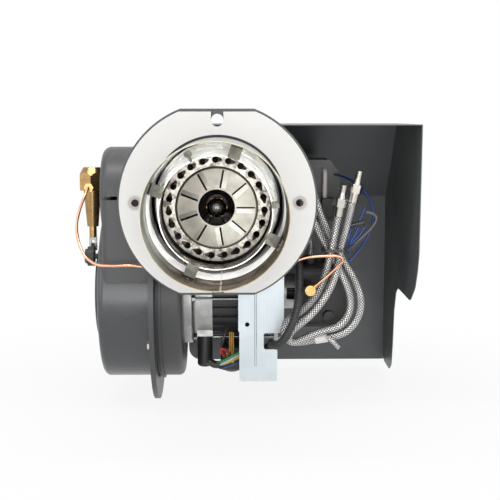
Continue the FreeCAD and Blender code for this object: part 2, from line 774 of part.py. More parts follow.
def rear_cover():
    front = BODY_BACK
    back = BODY_BACK + COVER_THICK
    body = plate_y(body_corners(0), (front, back))
    guide = rod(GUIDE_R, Vec(0, back - 1, 0), Vec(0, back + GUIDE_LENGTH, 0))
    sight_seat = rod(SIGHT_R + SEAT_WALL, Vec(SIGHT_X, back - 1, SIGHT_Z),
                     Vec(SIGHT_X, back + SEAT_HEIGHT, SIGHT_Z))
    sensor_seat = rod(SENSOR_R + SEAT_WALL, Vec(SENSOR_X, back - 1, SENSOR_Z),
                      Vec(SENSOR_X, back + SEAT_HEIGHT, SENSOR_Z))
    body = joined([body, guide, sight_seat, sensor_seat])
    through = back + GUIDE_LENGTH + 1
    body = body.cut(rod(HOLDER_R + RUN_FIT, Vec(0, front - 1, 0), Vec(0, through, 0)))
    body = body.cut(rod(SIGHT_R, Vec(SIGHT_X, back, SIGHT_Z), Vec(SIGHT_X, through, SIGHT_Z)))
    ledge_r = SIGHT_R - SEAT_LEDGE
    body = body.cut(rod(ledge_r, Vec(SIGHT_X, front - 1, SIGHT_Z), Vec(SIGHT_X, through, SIGHT_Z)))
    body = body.cut(rod(SENSOR_R, Vec(SENSOR_X, front - 1, SENSOR_Z), Vec(SENSOR_X, through, SENSOR_Z)))
    return body


def rear_cover_screws():
    back = BODY_BACK + COVER_THICK
    shapes = []
    for x, z in cover_screw_places():
        head = rod(COVER_SCREW_HEAD, Vec(x, back, z), Vec(x, back + COVER_SCREW_HEIGHT, z))
        socket = hex_bar(COVER_SCREW_HEAD, Vec(x, back + COVER_SCREW_HEIGHT / 2, z),
                         Vec(x, back + COVER_SCREW_HEIGHT + 1, z))
        shapes.append(head.cut(socket))
    return Part.makeCompound(shapes)


def sight_glass():
    back = BODY_BACK + COVER_THICK
    return rod(SIGHT_R - SEAT_GAP, Vec(SIGHT_X, back, SIGHT_Z), Vec(SIGHT_X, back + 3, SIGHT_Z))


def flame_sensor():
    front = BODY_BACK - SENSOR_IN
    cap = BODY_BACK + COVER_THICK + SEAT_HEIGHT
    barrel = rod(SENSOR_R - SEAT_GAP, Vec(SENSOR_X, front, SENSOR_Z), Vec(SENSOR_X, cap, SENSOR_Z))
    grip = rod(SENSOR_R + 3, Vec(SENSOR_X, cap, SENSOR_Z), Vec(SENSOR_X, cap + SENSOR_LENGTH, SENSOR_Z))
    grip = grip.makeFillet(3, grip.Edges[0:1])
    lens = rod(SENSOR_R - 3, Vec(SENSOR_X, front - 1, SENSOR_Z), Vec(SENSOR_X, front + 2, SENSOR_Z))
    return joined([barrel, grip]).cut(lens)


def fan_disc(radius, x_start, x_end):
    return rod(radius, Vec(x_start, FAN_Y, FAN_Z), Vec(x_end, FAN_Y, FAN_Z))


def about_fan(shape, angle):
    copy = shape.copy()
    copy.rotate(Vec(0, FAN_Y, FAN_Z), RIGHT, angle)
    return copy


def damper_direction():
    # Angle of the line from the fan axis to the damper spindle, measured from Y towards Z.
    return math.degrees(math.atan2(DAMPER_Z - FAN_Z, DAMPER_Y - FAN_Y))


def damper_distance():
    return math.hypot(DAMPER_Z - FAN_Z, DAMPER_Y - FAN_Y)


def throat_box(half, low_r, high_r, x_span):
    # A box whose length runs out from the fan axis through the damper spindle.
    piece = box(x_span, (FAN_Y + low_r, FAN_Y + high_r), (FAN_Z - half, FAN_Z + half))
    return about_fan(piece, damper_direction())


def scroll_left():
    outer = fan_disc(DRUM_R, DRUM_LEFT, DISC_LEFT)
    left_edges = [edge for edge in outer.Edges if edge.BoundBox.XMax < DRUM_LEFT + 0.1]
    outer = outer.makeFillet(DRUM_EDGE, left_edges)
    inside = fan_disc(DRUM_R - DRUM_WALL, DRUM_LEFT + DRUM_WALL, DISC_LEFT + 1)
    shell = outer.cut(inside)
    shell = shell.cut(fan_disc(SERVICE_R, DRUM_LEFT - 1, DRUM_LEFT + DRUM_WALL + 1))
    throat_x = (DRUM_LEFT + DRUM_WALL, INLET_PLATE_X - SEAT_GAP)
    mouth_x = (DRUM_LEFT + DRUM_EDGE, INLET_PLATE_X)
    shell = shell.cut(throat_box(THROAT_HALF - THROAT_INSET, DRUM_R - MOUTH_IN, DRUM_R + MOUTH_OUT, mouth_x))
    outer_walls = throat_box(THROAT_HALF + THROAT_WALL, THROAT_INNER_R, DRUM_R - DRUM_WALL - 2, throat_x)
    inner_walls = throat_box(THROAT_HALF, THROAT_INNER_R - 1, DRUM_R, throat_x)
    walls = outer_walls.cut(inner_walls)
    tie_low = throat_box(THROAT_HALF + THROAT_WALL, DRUM_R - THROAT_TIE, DRUM_R - 1, throat_x)
    tie = tie_low.cut(throat_box(THROAT_HALF, DRUM_R - THROAT_TIE - 1, DRUM_R, throat_x))
    tie = tie.common(fan_disc(DRUM_R - 1, throat_x[0], throat_x[1]))
    shell = shell.multiFuse([walls, tie])
    spindle_hole = rod(SPINDLE_R + RUN_FIT, Vec(DRUM_LEFT - 1, DAMPER_Y, DAMPER_Z),
                       Vec(DRUM_LEFT + DRUM_WALL + 1, DAMPER_Y, DAMPER_Z))
    return shell.cut(spindle_hole)


def scroll_right():
    big_disc = fan_disc(BIG_DISC_R, DISC_LEFT, DISC_RIGHT)
    drum = fan_disc(DRUM_R, DISC_RIGHT - 1, DRUM_RIGHT)
    right_edges = [edge for edge in drum.Edges if edge.BoundBox.XMin > DRUM_RIGHT - 0.1]
    drum = drum.makeFillet(DRUM_EDGE, right_edges)
    outlet_low = FAN_Z + DRUM_R - OUTLET_LAP
    spout = box((OUTLET_X[0] - OUTLET_WALL, OUTLET_X[1] + OUTLET_WALL),
                (OUTLET_Y[0] - OUTLET_WALL, OUTLET_Y[1] + OUTLET_WALL), (outlet_low, BODY_STEP_Z))
    body = joined([big_disc, drum, spout])
    inside = fan_disc(DRUM_R - DRUM_WALL, DISC_LEFT - 1, DRUM_RIGHT - DRUM_WALL)
    passage = box(OUTLET_X, OUTLET_Y, (outlet_low - 10, BODY_STEP_Z + 1))
    shaft_hole = fan_disc(SHAFT_R + SHAFT_HOLE_GAP, DRUM_RIGHT - DRUM_WALL - 1, DRUM_RIGHT + 1)
    body = body.cut([inside, passage, shaft_hole])
    rib = ring(DRUM_R + DRUM_RIB, DRUM_R - 1, Vec(DISC_RIGHT + DRUM_RIB, FAN_Y, FAN_Z),
               Vec(DISC_RIGHT + 2 * DRUM_RIB, FAN_Y, FAN_Z))
    rib_gap = (OUTLET_Y[0] - DRUM_RIB_ENDS, OUTLET_Y[1] + DRUM_RIB_ENDS)
    rib = rib.cut(box((DISC_LEFT, DRUM_RIGHT), rib_gap, (FAN_Z, FAN_Z + 2 * DRUM_R)))
    return body.fuse(rib).removeSplitter()


def scroll_screw_angles():
    # Screws round the drum's rim, left out where the intake housing and the flange stand in the way.
    angles = [i * 360 / SCROLL_SCREW_COUNT + 22.5 for i in range(SCROLL_SCREW_COUNT)]
    return [angle for angle in angles if angle > 160]


def scroll_screws():
    shapes = []
    for angle in scroll_screw_angles():
        reach = DRUM_R + (BIG_DISC_R - DRUM_R) / 2
        y = FAN_Y + reach * math.cos(math.radians(angle))
        z = FAN_Z + reach * math.sin(math.radians(angle))
        head = hex_bar(SCROLL_SCREW_HEAD * 2, Vec(DISC_LEFT - 4, y, z), Vec(DISC_LEFT, y, z))
        shapes.append(head)
    return Part.makeCompound(shapes)


def inlet_ring():
    # Bell-mouthed plate that leads the air into the wheel.
    right = INLET_PLATE_X + INLET_PLATE_THICK
    outer_r = DRUM_R - DRUM_WALL - SEAT_GAP
    plate = ring(outer_r, INLET_R, Vec(INLET_PLATE_X, FAN_Y, FAN_Z), Vec(right, FAN_Y, FAN_Z))
    lip = turned([(0, INLET_R), (INLET_LIP, INLET_R - 4), (INLET_LIP, INLET_R - 2), (2, INLET_R + 2)],
                 Vec(right - 1, FAN_Y, FAN_Z), RIGHT)
    return plate.fuse(lip).removeSplitter()


def inlet_cover():
    left = DRUM_LEFT - COVER_DISC_THICK
    cover_r = SERVICE_R + COVER_DISC_LAP
    disc = fan_disc(cover_r, left, DRUM_LEFT)
    edges = [edge for edge in disc.Edges if edge.BoundBox.XMax < left + 0.1]
    disc = disc.makeFillet(COVER_DISC_ROUND, edges)
    plug = ring(SERVICE_R - SEAT_GAP, SERVICE_R - DRUM_WALL, Vec(DRUM_LEFT - 1, FAN_Y, FAN_Z),
                Vec(DRUM_LEFT + DRUM_WALL - 1, FAN_Y, FAN_Z))
    recess = fan_disc(cover_r - COVER_RECESS_RIM, left - 1, left + COVER_RECESS_DEPTH)
    boss = fan_disc(COVER_BOSS_R, left, left + COVER_RECESS_DEPTH + 1)
    return disc.cut(recess).multiFuse([plug, boss]).removeSplitter()


def intake_housing():
    left = BARREL_LEFT
    right = DISC_LEFT
    barrel = rod(BARREL_R, Vec(left, BARREL_Y, BARREL_Z), Vec(right, BARREL_Y, BARREL_Z))
    left_edges = [edge for edge in barrel.Edges if edge.BoundBox.XMax < left + 0.1]
    barrel = barrel.makeFillet(BARREL_EDGE, left_edges)
    neck = plate_z([(NECK_LEFT, NECK_FRONT, NECK_ROUND), (right, NECK_FRONT, 0), (right, NECK_BACK, 0),
                    (NECK_LEFT, NECK_BACK, NECK_ROUND)], (NECK_BOTTOM, NECK_TOP))
    body = barrel.fuse(neck)
    wall = BARREL_WALL
    hollow = rod(BARREL_R - wall, Vec(left + wall, BARREL_Y, BARREL_Z),
                 Vec(right - wall, BARREL_Y, BARREL_Z))
    well = box((NECK_LEFT + wall, INLET_PLATE_X), (NECK_FRONT + wall, NECK_BACK - WELL_INSET),
               (NECK_BOTTOM + wall, BARREL_Z))
    drum_space = fan_disc(DRUM_R + SEAT_GAP, left - DRUM_SPACE_OVER, right + DRUM_SPACE_OVER)
    body = body.cut([hollow, well, drum_space])
    notch_y = (FAN_Y - BODY_NOTCH_FRONT, NECK_BACK + 1)
    body = body.cut(box((left, right), notch_y, (FAN_Z, FAN_Z + DRUM_R - 2)))
    pitch = GRILLE_SLOT + GRILLE_BAR
    first = BARREL_Z - pitch * (GRILLE_SLOTS - 1) / 2
    cutters = []
    for i in range(GRILLE_SLOTS):
        z = first + i * pitch
        cutters.append(box((left + GRILLE_LEFT_EDGE, right - GRILLE_RIGHT_EDGE),
                           (BARREL_Y + GRILLE_START, BARREL_Y + BARREL_R + 1),
                           (z - GRILLE_SLOT / 2, z + GRILLE_SLOT / 2)))
    return body.cut(cutters).removeSplitter()


def damper():
    # Flap, spindle, hub and arm turn as one about the spindle.
    spindle_end = INLET_PLATE_X - 1
    spindle = rod(SPINDLE_R, Vec(HUB_X[0], DAMPER_Y, DAMPER_Z), Vec(spindle_end, DAMPER_Y, DAMPER_Z))
    flap = box((DRUM_LEFT + DRUM_WALL + 1, spindle_end), (DAMPER_Y - DAMPER_THICK / 2,
               DAMPER_Y + DAMPER_THICK / 2), (DAMPER_Z - DAMPER_CHORD / 2, DAMPER_Z + DAMPER_CHORD / 2))
    flap.rotate(Vec(0, DAMPER_Y, DAMPER_Z), RIGHT, damper_direction() - 180)
    hub = rod(HUB_R, Vec(HUB_X[0], DAMPER_Y, DAMPER_Z), Vec(HUB_X[1], DAMPER_Y, DAMPER_Z))
    grip = hex_bar(HUB_R * 1.3, Vec(HUB_X[0] - 4, DAMPER_Y, DAMPER_Z), Vec(HUB_X[0], DAMPER_Y, DAMPER_Z))
    arm = box(ARM_X, (DAMPER_Y, DAMPER_Y + ARM_REACH + ARM_TIP), (DAMPER_Z - ARM_HALF, DAMPER_Z + ARM_HALF))
    slot_half = PIN_R + PIN_PLAY
    slot_y = (DAMPER_Y + ARM_REACH - slot_half - 2, DAMPER_Y + ARM_REACH + slot_half + 2.5)
    slot = box((ARM_X[0] - 1, ARM_X[1] + 1), slot_y, (DAMPER_Z - slot_half, DAMPER_Z + slot_half))
    arm = arm.cut(slot)
    arm.rotate(Vec(0, DAMPER_Y, DAMPER_Z), RIGHT, DAMPER_HALF_SWING)
    return joined([spindle, flap, hub, grip, arm])


def ram_y():
    return DAMPER_Y + ARM_REACH


def pin_rest_z():
    return DAMPER_Z + ARM_REACH * math.tan(math.radians(DAMPER_HALF_SWING))


def ram_body():
    y = ram_y()
    cap = hex_bar(RAM_HEX, Vec(RAM_X, y, RAM_HEX_BOTTOM), Vec(RAM_X, y, RAM_TOP), 90)
    corner_r = RAM_HEX / math.sqrt(3)
    height = RAM_TOP - RAM_HEX_BOTTOM
    bevel = turned([(0, 0), (0, corner_r), (height - RAM_BEVEL_HEIGHT, corner_r),
                    (height, corner_r - RAM_BEVEL_IN), (height, 0)], Vec(RAM_X, y, RAM_HEX_BOTTOM), UP)
    cap = cap.common(bevel)
    barrel = Part.makeCone(RAM_BODY_BOTTOM_R, RAM_BODY_TOP_R, RAM_HEX_BOTTOM - RAM_BODY_BOTTOM + 1,
                           Vec(RAM_X, y, RAM_BODY_BOTTOM), UP)
    nipple = rod(RAM_NIPPLE_R, Vec(RAM_X, y, RAM_NIPPLE_BOTTOM), Vec(RAM_X, y, RAM_BODY_BOTTOM + 1))
    spigot = rod(RAM_SPIGOT_R, Vec(RAM_X, y - RAM_HEX / 2, RAM_PIPE_Z),
                 Vec(RAM_X, y - RAM_HEX / 2 - RAM_SPIGOT_LENGTH, RAM_PIPE_Z))
    lug = box((RAM_X + RAM_HEX / 2 - RAM_LUG_LAP, BARREL_LEFT - RAM_BRACKET_THICK),
              (y - RAM_LUG_HALF, y + RAM_LUG_HALF), (RAM_HEX_BOTTOM, RAM_TOP - RAM_LUG_DROP))
    body = joined([cap, barrel, nipple, spigot, lug])
    bore_top = RAM_NIPPLE_BOTTOM + RAM_BORE
    return body.cut(rod(RAM_ROD_R + RUN_FIT, Vec(RAM_X, y, RAM_NIPPLE_BOTTOM - 1), Vec(RAM_X, y, bore_top)))


def ram_bracket():
    y = ram_y()
    bottom = RAM_HEX_BOTTOM - RAM_BRACKET_FOOT
    top = RAM_TOP - RAM_BRACKET_TOP_DROP
    front = y - RAM_BRACKET_HALF
    back = y + RAM_BRACKET_HALF
    corners = [(front, bottom), (back, bottom), (back, top), (front, top)]
    return plate_x([(at_y, at_z, RAM_BRACKET_ROUND) for at_y, at_z in corners],
                   (BARREL_LEFT - RAM_BRACKET_THICK, BARREL_LEFT))


def ram_pipe_nut():
    front = ram_y() - RAM_HEX / 2 - RAM_SPIGOT_LENGTH
    nut = hex_bar(RAM_NUT_HEX, Vec(RAM_X, front - RAM_NUT_LENGTH, RAM_PIPE_Z), Vec(RAM_X, front, RAM_PIPE_Z))
    return nut


def ram_rod():
    y = ram_y()
    pin_z = pin_rest_z()
    fork_top = RAM_NIPPLE_BOTTOM - 0.5
    bridge = fork_top - FORK_BRIDGE
    left = (ARM_X[0] - FORK_PLAY - FORK_WALL, ARM_X[0] - FORK_PLAY)
    right = (ARM_X[1] + FORK_PLAY, ARM_X[1] + FORK_PLAY + FORK_WALL)
    fork_y = (y - FORK_HALF, y + FORK_HALF)
    cheek_z = (pin_z - PIN_R - 2, fork_top)
    shapes = [
        box(left, fork_y, cheek_z),
        box(right, fork_y, cheek_z),
        box((left[0], right[1]), fork_y, (bridge, fork_top)),
        rod(PIN_R, Vec(left[0], y, pin_z), Vec(right[1], y, pin_z)),
        rod(RAM_ROD_R, Vec(RAM_X, y, fork_top - 1), Vec(RAM_X, y, RAM_NIPPLE_BOTTOM + RAM_ROD_IN)),
    ]
    return joined(shapes)


def wheel_blade():
    # One forward-curved blade between two arcs, drawn in the plane of the wheel and drawn out along X.
    middle_r = (WHEEL_R + WHEEL_INNER_R) / 2
    foot = Vec(0, WHEEL_INNER_R, 0)
    belly = Vec(0, middle_r + BLADE_BELLY[0], BLADE_BELLY[1])
    tip = Vec(0, WHEEL_R + BLADE_TIP[0], BLADE_TIP[1])
    back = Vec(0, 0, BLADE_THICK)
    outer = Part.Arc(foot, belly, tip).toShape()
    inner = Part.Arc(tip.add(back), belly.add(back), foot.add(back)).toShape()
    caps = [Part.LineSegment(tip, tip.add(back)).toShape(), Part.LineSegment(foot.add(back), foot).toShape()]
    face = Part.Face(Part.Wire([outer, caps[0], inner, caps[1]]))
    blade = face.extrude(Vec(WHEEL_X[1] - WHEEL_X[0] - 2, 0, 0))
    blade.translate(Vec(WHEEL_X[0] + 1, FAN_Y, FAN_Z))
    return blade


def fan_wheel():
    plate = ring(WHEEL_R, SHAFT_R, Vec(WHEEL_X[1] - WHEEL_PLATE, FAN_Y, FAN_Z), Vec(WHEEL_X[1], FAN_Y, FAN_Z))
    rim = ring(WHEEL_R, WHEEL_INNER_R, Vec(WHEEL_X[0], FAN_Y, FAN_Z),
               Vec(WHEEL_X[0] + WHEEL_PLATE, FAN_Y, FAN_Z))
    hub = ring(WHEEL_HUB_R, SHAFT_R, Vec(WHEEL_X[1] - 30, FAN_Y, FAN_Z), Vec(WHEEL_X[1], FAN_Y, FAN_Z))
    pieces = [rim, hub]
    blade = wheel_blade()
    for i in range(BLADE_COUNT):
        pieces.append(about_fan(blade, i * 360 / BLADE_COUNT))
    return plate.multiFuse(pieces)


# Motor
MOTOR_PLATE_THICK = 12.0
MOTOR_PLATE_R = 79.0
SHIELD_LEFT = -40.0
SHIELD_RIGHT = -10.0
SHIELD_R = 64.5
MOTOR_RIGHT = 84.0
MOTOR_CORE_R = 63.0
MOTOR_RIB_R = 68.0
MOTOR_RIB_COUNT = 26
MOTOR_RIB_WIDTH = 2.4
REAR_SHIELD_RIGHT = 97.0
REAR_SHIELD_R = 60.0
MOTOR_BORE_R = 10.0
TIE_ROD_R = 1.8
TIE_PITCH_R = 71.5
TIE_NUT_HEX = 8.0
TIE_NUT_LENGTH = 5.0
TIE_LUG_R = 6.0
PAD_BOTTOM = -214.0
PAD_ROOT = 50.0
PAD_SETBACK = 5.0
SHIELD_ROUND = 5.0
LUG_SHEET = 6.0
PLUG_X = (2.0, 60.0)
PLUG_Y = (120.0, 200.0)
PLUG_TOP = -226.0
PLUG_BOTTOM = -262.0
PLUG_ROUND = 4.0
PLUG_SEAT = 6.0
PLUG_DOME = 11.0
PLUG_DOME_R = 26.0
PLUG_DOME_SHIFT = -12.0
TAB_X = (10.0, 18.0)
TAB_BLADE = 4.0
TAB_THICK = 1.5
TAB_MARGIN = 12.0
CAPACITOR_R = 11.5
CAPACITOR_X = -22.0
CAPACITOR_Y = 152.0
CAPACITOR_LENGTH = 48.0

# Coupling and oil pump
COUPLING_X = (100.0, 117.0)
COUPLING_R = 15.0
LOBE_R = 3.0
LOBE_COUNT = 6
COUPLING_SOCKET = 4.0
PUMP_SHAFT_R = 4.0
PUMP_SHAFT_END = 132.0
PUMP_HUB_R = 27.0
PUMP_HUB_BORE_R = 20.0
HUB_WINDOW_RIM = 5.0
HUB_WINDOW_HALF = 9.0
PUMP_LEFT = 120.0
PUMP_RIGHT = 185.0
PUMP_Y = (110.0, 218.0)
PUMP_Z = (-197.0, -104.0)
PUMP_CORNER = 10.0
PUMP_COVER_THICK = 11.0
PUMP_PORT_X = (138.0, 166.0)
PUMP_PORT_Y = 150.0
PUMP_PORT_R = 9.0
PUMP_PORT_HEIGHT = 12.0
PUMP_PORT_HEX = 17.0
PUMP_PORT_NUT = 8.0
REGULATOR_R = 8.0
REGULATOR_X = 162.0
REGULATOR_Z = -176.0
REGULATOR_LENGTH = 14.0
PUMP_POCKET_X = (172.0, 180.0)
PUMP_POCKET_Z = (-190.0, -178.0)
PUMP_POCKET_DEPTH = 2.0
PUMP_COVER_INSET = 9.0
PUMP_COVER_CORNER = 16.0
PUMP_COVER_LOW = 5.0
PUMP_COVER_HIGH = 30.0
PUMP_SCREW_R = 4.0
PUMP_SCREW_HEAD = 3.0
PUMP_SCREW_MARGIN = 12.0
UNION_X = 130.0
UNION_Z = -127.0
UNION_R = 7.5
UNION_Y = (34.0, 46.0)
UNION_PIPE_R = 6.0
UNION_HEX = 11.0
UNION_HEAD = 5.0
UNION_BOSS = 12.0
UNION_BOSS_R = 3.6
PIPE_DIAMETER = 4.0

# Controls and ignition transformer
BASE_THICK = 16.0
CONTROL_Y = (136.0, 216.0)
CONTROL_Z = (-38.0, 53.0)
CONTROL_RIGHT = 180.5
CONTROL_CHAMFER = 22.0
CONTROL_ROUND = 3.0
CONTROL_LINE_Y = 30.0
CONTROL_LINE_WIDTH = 1.5
BASE_MARGIN = 6.0
BASE_ROUND = 5.0
GLAND_R = 9.0
GLAND_Y = 146.0
GLAND_PITCH = 26.0
GLAND_COUNT = 3
GLAND_SHIFT = 1.5
GLAND_LENGTH = 10.0
BUTTON_R = 7.0
BUTTON_Y = 176.0
BUTTON_Z = 8.0
BUTTON_PROUD = 5.0
BUTTON_TRAVEL = 3.0
BUTTON_DEPTH = 12.0
TRANSFORMER_X = (92.0, 158.0)
TRANSFORMER_Y = (226.0, 290.0)
TRANSFORMER_Z = (-40.0, 42.0)
TRANSFORMER_ROUND = 4.0
TRANSFORMER_SEAT = 6.0
OUTLET_POST_R = 8.0
OUTLET_POST_INSET = 20.0
OUTLET_POST_LENGTH = 14.0

# Sheet bracket below the head body
BRACKET_Y = 80.0
BRACKET_THICK = 2.0
BRACKET_LEFT = 28.5
BRACKET_JOG = 1.5
BRACKET_JOG_Z = -193.6
BRACKET_BOTTOM = -268.7
BRACKET_LOWER_RIGHT = 85.5
BRACKET_STEP_Z = -221.0
BRACKET_NOTCH_X = 65.6
BRACKET_UPPER_Z = -197.0
BRACKET_RIGHT = 95.0
BRACKET_SEAT = 34.0
BRACKET_RETURN = 12.0
BRACKET_RIB_X = (52.0, 55.5)
BRACKET_RIB_BOTTOM = -246.0
BRACKET_RIB_RISE = 1.4
BRACKET_HOLE_X = 41.5
BRACKET_HOLE_Z = -184.0
BRACKET_HOLE_R = 3.3

# Sheet hood
HOOD_SHEET = 1.2
HOOD_LEFT = -55.0
HOOD_RIGHT = 281.0
HOOD_TOP = COLLAR_R + 9.0
HOOD_FRONT = 15.0
HOOD_SLOPE_Y = 241.0
HOOD_BACK = 360.0
HOOD_SLOPE_Z = -16.0
HOOD_BOTTOM = -300.0
HOOD_LIP = 8.0
HOOD_LIP_SETBACK = 2.0
HOOD_LIP_BOTTOM = 24.0
HOOD_BEND_R = 5.0
HOOD_FRONT_ROUND = 2.0
HOOD_CORNER_R = 20.0
HOOD_SIDE_CUT = [
    (285, -300, 14), (263, -288, 18), (253, -252, 40), (242, -192, 40), (224, -160, 14),
    (203, -151, 12), (88, -151, 30), (50, -127, 30), (32, -100, 24), (22, -74, 30)]
HOOD_POST_R = 5.0
HOOD_POST_BORE = 14.0
HOOD_HOLE_R = 2.5
HOOD_SCREW_R = 6.0
HOOD_SCREW_HEIGHT = 3.0
HOOD_SCREW_ROUND = 1.5
HOOD_SHANK_R = 2.3
HOOD_SHANK_LENGTH = 12.0
HOOD_POSTS = ((-42.0, 110.0), (60.0, 70.0), (60.0, 210.0))


def motor_plate():
    left = DRUM_RIGHT
    right = DRUM_RIGHT + MOTOR_PLATE_THICK
    body = fan_disc(MOTOR_PLATE_R, left, right)
    edges = [edge for edge in body.Edges if edge.BoundBox.XMin > right - 0.1]
    body = body.makeFillet(2, edges)
    return body.cut(fan_disc(SHAFT_R + 2, left - 1, right + 1))


def motor_end_shield():
    body = fan_disc(SHIELD_R, SHIELD_LEFT, SHIELD_RIGHT)
    edges = [edge for edge in body.Edges if edge.BoundBox.XMax < SHIELD_LEFT + 0.1]
    body = body.makeFillet(SHIELD_ROUND, edges)
    pad_y = (CAPACITOR_Y - CAPACITOR_R, CAPACITOR_Y + 2 * CAPACITOR_R)
    pad = box((CAPACITOR_X - CAPACITOR_R, SHIELD_RIGHT), pad_y, (PAD_BOTTOM, FAN_Z - PAD_ROOT))
    body = joined([body, pad])
    return body.cut(fan_disc(SHAFT_R + RUN_FIT, SHIELD_LEFT - 1, SHIELD_RIGHT + 1))


def motor_body():
    core = fan_disc(MOTOR_CORE_R, SHIELD_RIGHT, MOTOR_RIGHT)
    half = MOTOR_RIB_WIDTH / 2
    rib = box((SHIELD_RIGHT, MOTOR_RIGHT), (FAN_Y + MOTOR_CORE_R - 1, FAN_Y + MOTOR_RIB_R),
              (FAN_Z - half, FAN_Z + half))
    ribs = [about_fan(rib, i * 360 / MOTOR_RIB_COUNT) for i in range(MOTOR_RIB_COUNT)]
    pad = box((SHIELD_RIGHT, PLUG_X[1] + PLUG_ROUND), (FAN_Y + PAD_SETBACK, PLUG_Y[1]),
              (PLUG_TOP, FAN_Z - PAD_ROOT))
    bores = fan_disc(MOTOR_BORE_R, SHIELD_RIGHT - 1, MOTOR_RIGHT + 1)
    return core.multiFuse(ribs + [pad]).cut(bores)


def motor_rear_shield():
    body = fan_disc(REAR_SHIELD_R, MOTOR_RIGHT, REAR_SHIELD_RIGHT)
    edges = [edge for edge in body.Edges if edge.BoundBox.XMin > REAR_SHIELD_RIGHT - 0.1]
    body = body.makeFillet(SHIELD_ROUND, edges)
    lug_right = MOTOR_RIGHT + LUG_SHEET
    tip_y = FAN_Y + TIE_PITCH_R
    lug = box((MOTOR_RIGHT, lug_right), (FAN_Y + REAR_SHIELD_R - LUG_SHEET, tip_y),
              (FAN_Z - TIE_LUG_R, FAN_Z + TIE_LUG_R))
    tip = rod(TIE_LUG_R, Vec(MOTOR_RIGHT, tip_y, FAN_Z), Vec(lug_right, tip_y, FAN_Z))
    hole = rod(TIE_ROD_R, Vec(MOTOR_RIGHT - 1, tip_y, FAN_Z), Vec(lug_right + 1, tip_y, FAN_Z))
    for angle in (0, 90, 180, 270):
        body = body.fuse(about_fan(lug.fuse(tip), angle))
        body = body.cut(about_fan(hole, angle))
    return body.cut(fan_disc(SHAFT_R + RUN_FIT, MOTOR_RIGHT - 1, REAR_SHIELD_RIGHT + 1))


def tie_rods():
    # Four studs run along the motor from the mounting plate to the rear shield, with a nut at each end.
    shapes = []
    left = DRUM_RIGHT + MOTOR_PLATE_THICK
    right = MOTOR_RIGHT + LUG_SHEET
    y = FAN_Y + TIE_PITCH_R
    stud = rod(TIE_ROD_R, Vec(left, y, FAN_Z), Vec(right + TIE_NUT_LENGTH, y, FAN_Z))
    front_nut = hex_bar(TIE_NUT_HEX, Vec(left, y, FAN_Z), Vec(left + TIE_NUT_LENGTH, y, FAN_Z))
    rear_nut = hex_bar(TIE_NUT_HEX, Vec(right, y, FAN_Z), Vec(right + TIE_NUT_LENGTH, y, FAN_Z))
    piece = joined([stud, front_nut, rear_nut])
    for angle in (0, 90, 180, 270):
        shapes.append(about_fan(piece, angle))
    return Part.makeCompound(shapes)


def motor_plug():
    top = PLUG_TOP
    corner = PLUG_ROUND
    body = rounded_box(PLUG_X, PLUG_Y, (PLUG_BOTTOM, top - 0.01), corner)
    seat_y = (PLUG_Y[0] + 2 * PLUG_SEAT, PLUG_Y[1] - corner)
    body = body.fuse(box((PLUG_X[0] + corner, PLUG_X[1] - corner), seat_y, (top - PLUG_SEAT, top)))
    dome_x = sum(PLUG_X) / 2 + PLUG_DOME_SHIFT
    dome = Part.makeSphere(PLUG_DOME_R, Vec(dome_x, sum(PLUG_Y) / 2, PLUG_BOTTOM + PLUG_DOME_R - PLUG_DOME))
    dome = dome.common(box(PLUG_X, PLUG_Y, (PLUG_BOTTOM - PLUG_DOME - 1, PLUG_BOTTOM + 1)))
    return body.fuse(dome).removeSplitter()


def terminal_tabs():
    shapes = []
    for x in TAB_X:
        tab = box((x, x + TAB_BLADE), (PLUG_Y[0] - TAB_THICK, PLUG_Y[0]),
                  (PLUG_BOTTOM + TAB_MARGIN, PLUG_TOP - PLUG_ROUND))
        shapes.append(tab)
    return Part.makeCompound(shapes)


def capacitor():
    bottom = PAD_BOTTOM - CAPACITOR_LENGTH
    body = rod(CAPACITOR_R, Vec(CAPACITOR_X, CAPACITOR_Y, bottom), Vec(CAPACITOR_X, CAPACITOR_Y, PAD_BOTTOM))
    edges = [edge for edge in body.Edges if edge.BoundBox.ZMax < bottom + 0.1]
    return body.makeFillet(5, edges)


def motor_shaft():
    return fan_disc(SHAFT_R, WHEEL_X[1] - SHAFT_REACH, COUPLING_X[1] - COUPLING_SOCKET)


def drive_coupling():
    body = fan_disc(COUPLING_R, COUPLING_X[0], COUPLING_X[1])
    lobe_y = FAN_Y + COUPLING_R
    lobe = rod(LOBE_R, Vec(COUPLING_X[0], lobe_y, FAN_Z), Vec(COUPLING_X[1], lobe_y, FAN_Z))
    body = body.multiFuse([about_fan(lobe, i * 360 / LOBE_COUNT) for i in range(LOBE_COUNT)])
    body = body.cut(fan_disc(SHAFT_R, COUPLING_X[0] - 1, COUPLING_X[1] - COUPLING_SOCKET))
    return body.fuse(fan_disc(PUMP_SHAFT_R, COUPLING_X[1] - 1, PUMP_SHAFT_END)).removeSplitter()


def pump_hub():
    body = ring(PUMP_HUB_R, PUMP_HUB_BORE_R, Vec(REAR_SHIELD_RIGHT, FAN_Y, FAN_Z),
                Vec(PUMP_LEFT, FAN_Y, FAN_Z))
    rim = HUB_WINDOW_RIM
    window = box((REAR_SHIELD_RIGHT + rim, PUMP_LEFT - rim), (FAN_Y - PUMP_HUB_R - 1, FAN_Y),
                 (FAN_Z - HUB_WINDOW_HALF, FAN_Z + HUB_WINDOW_HALF))
    return body.cut(window)


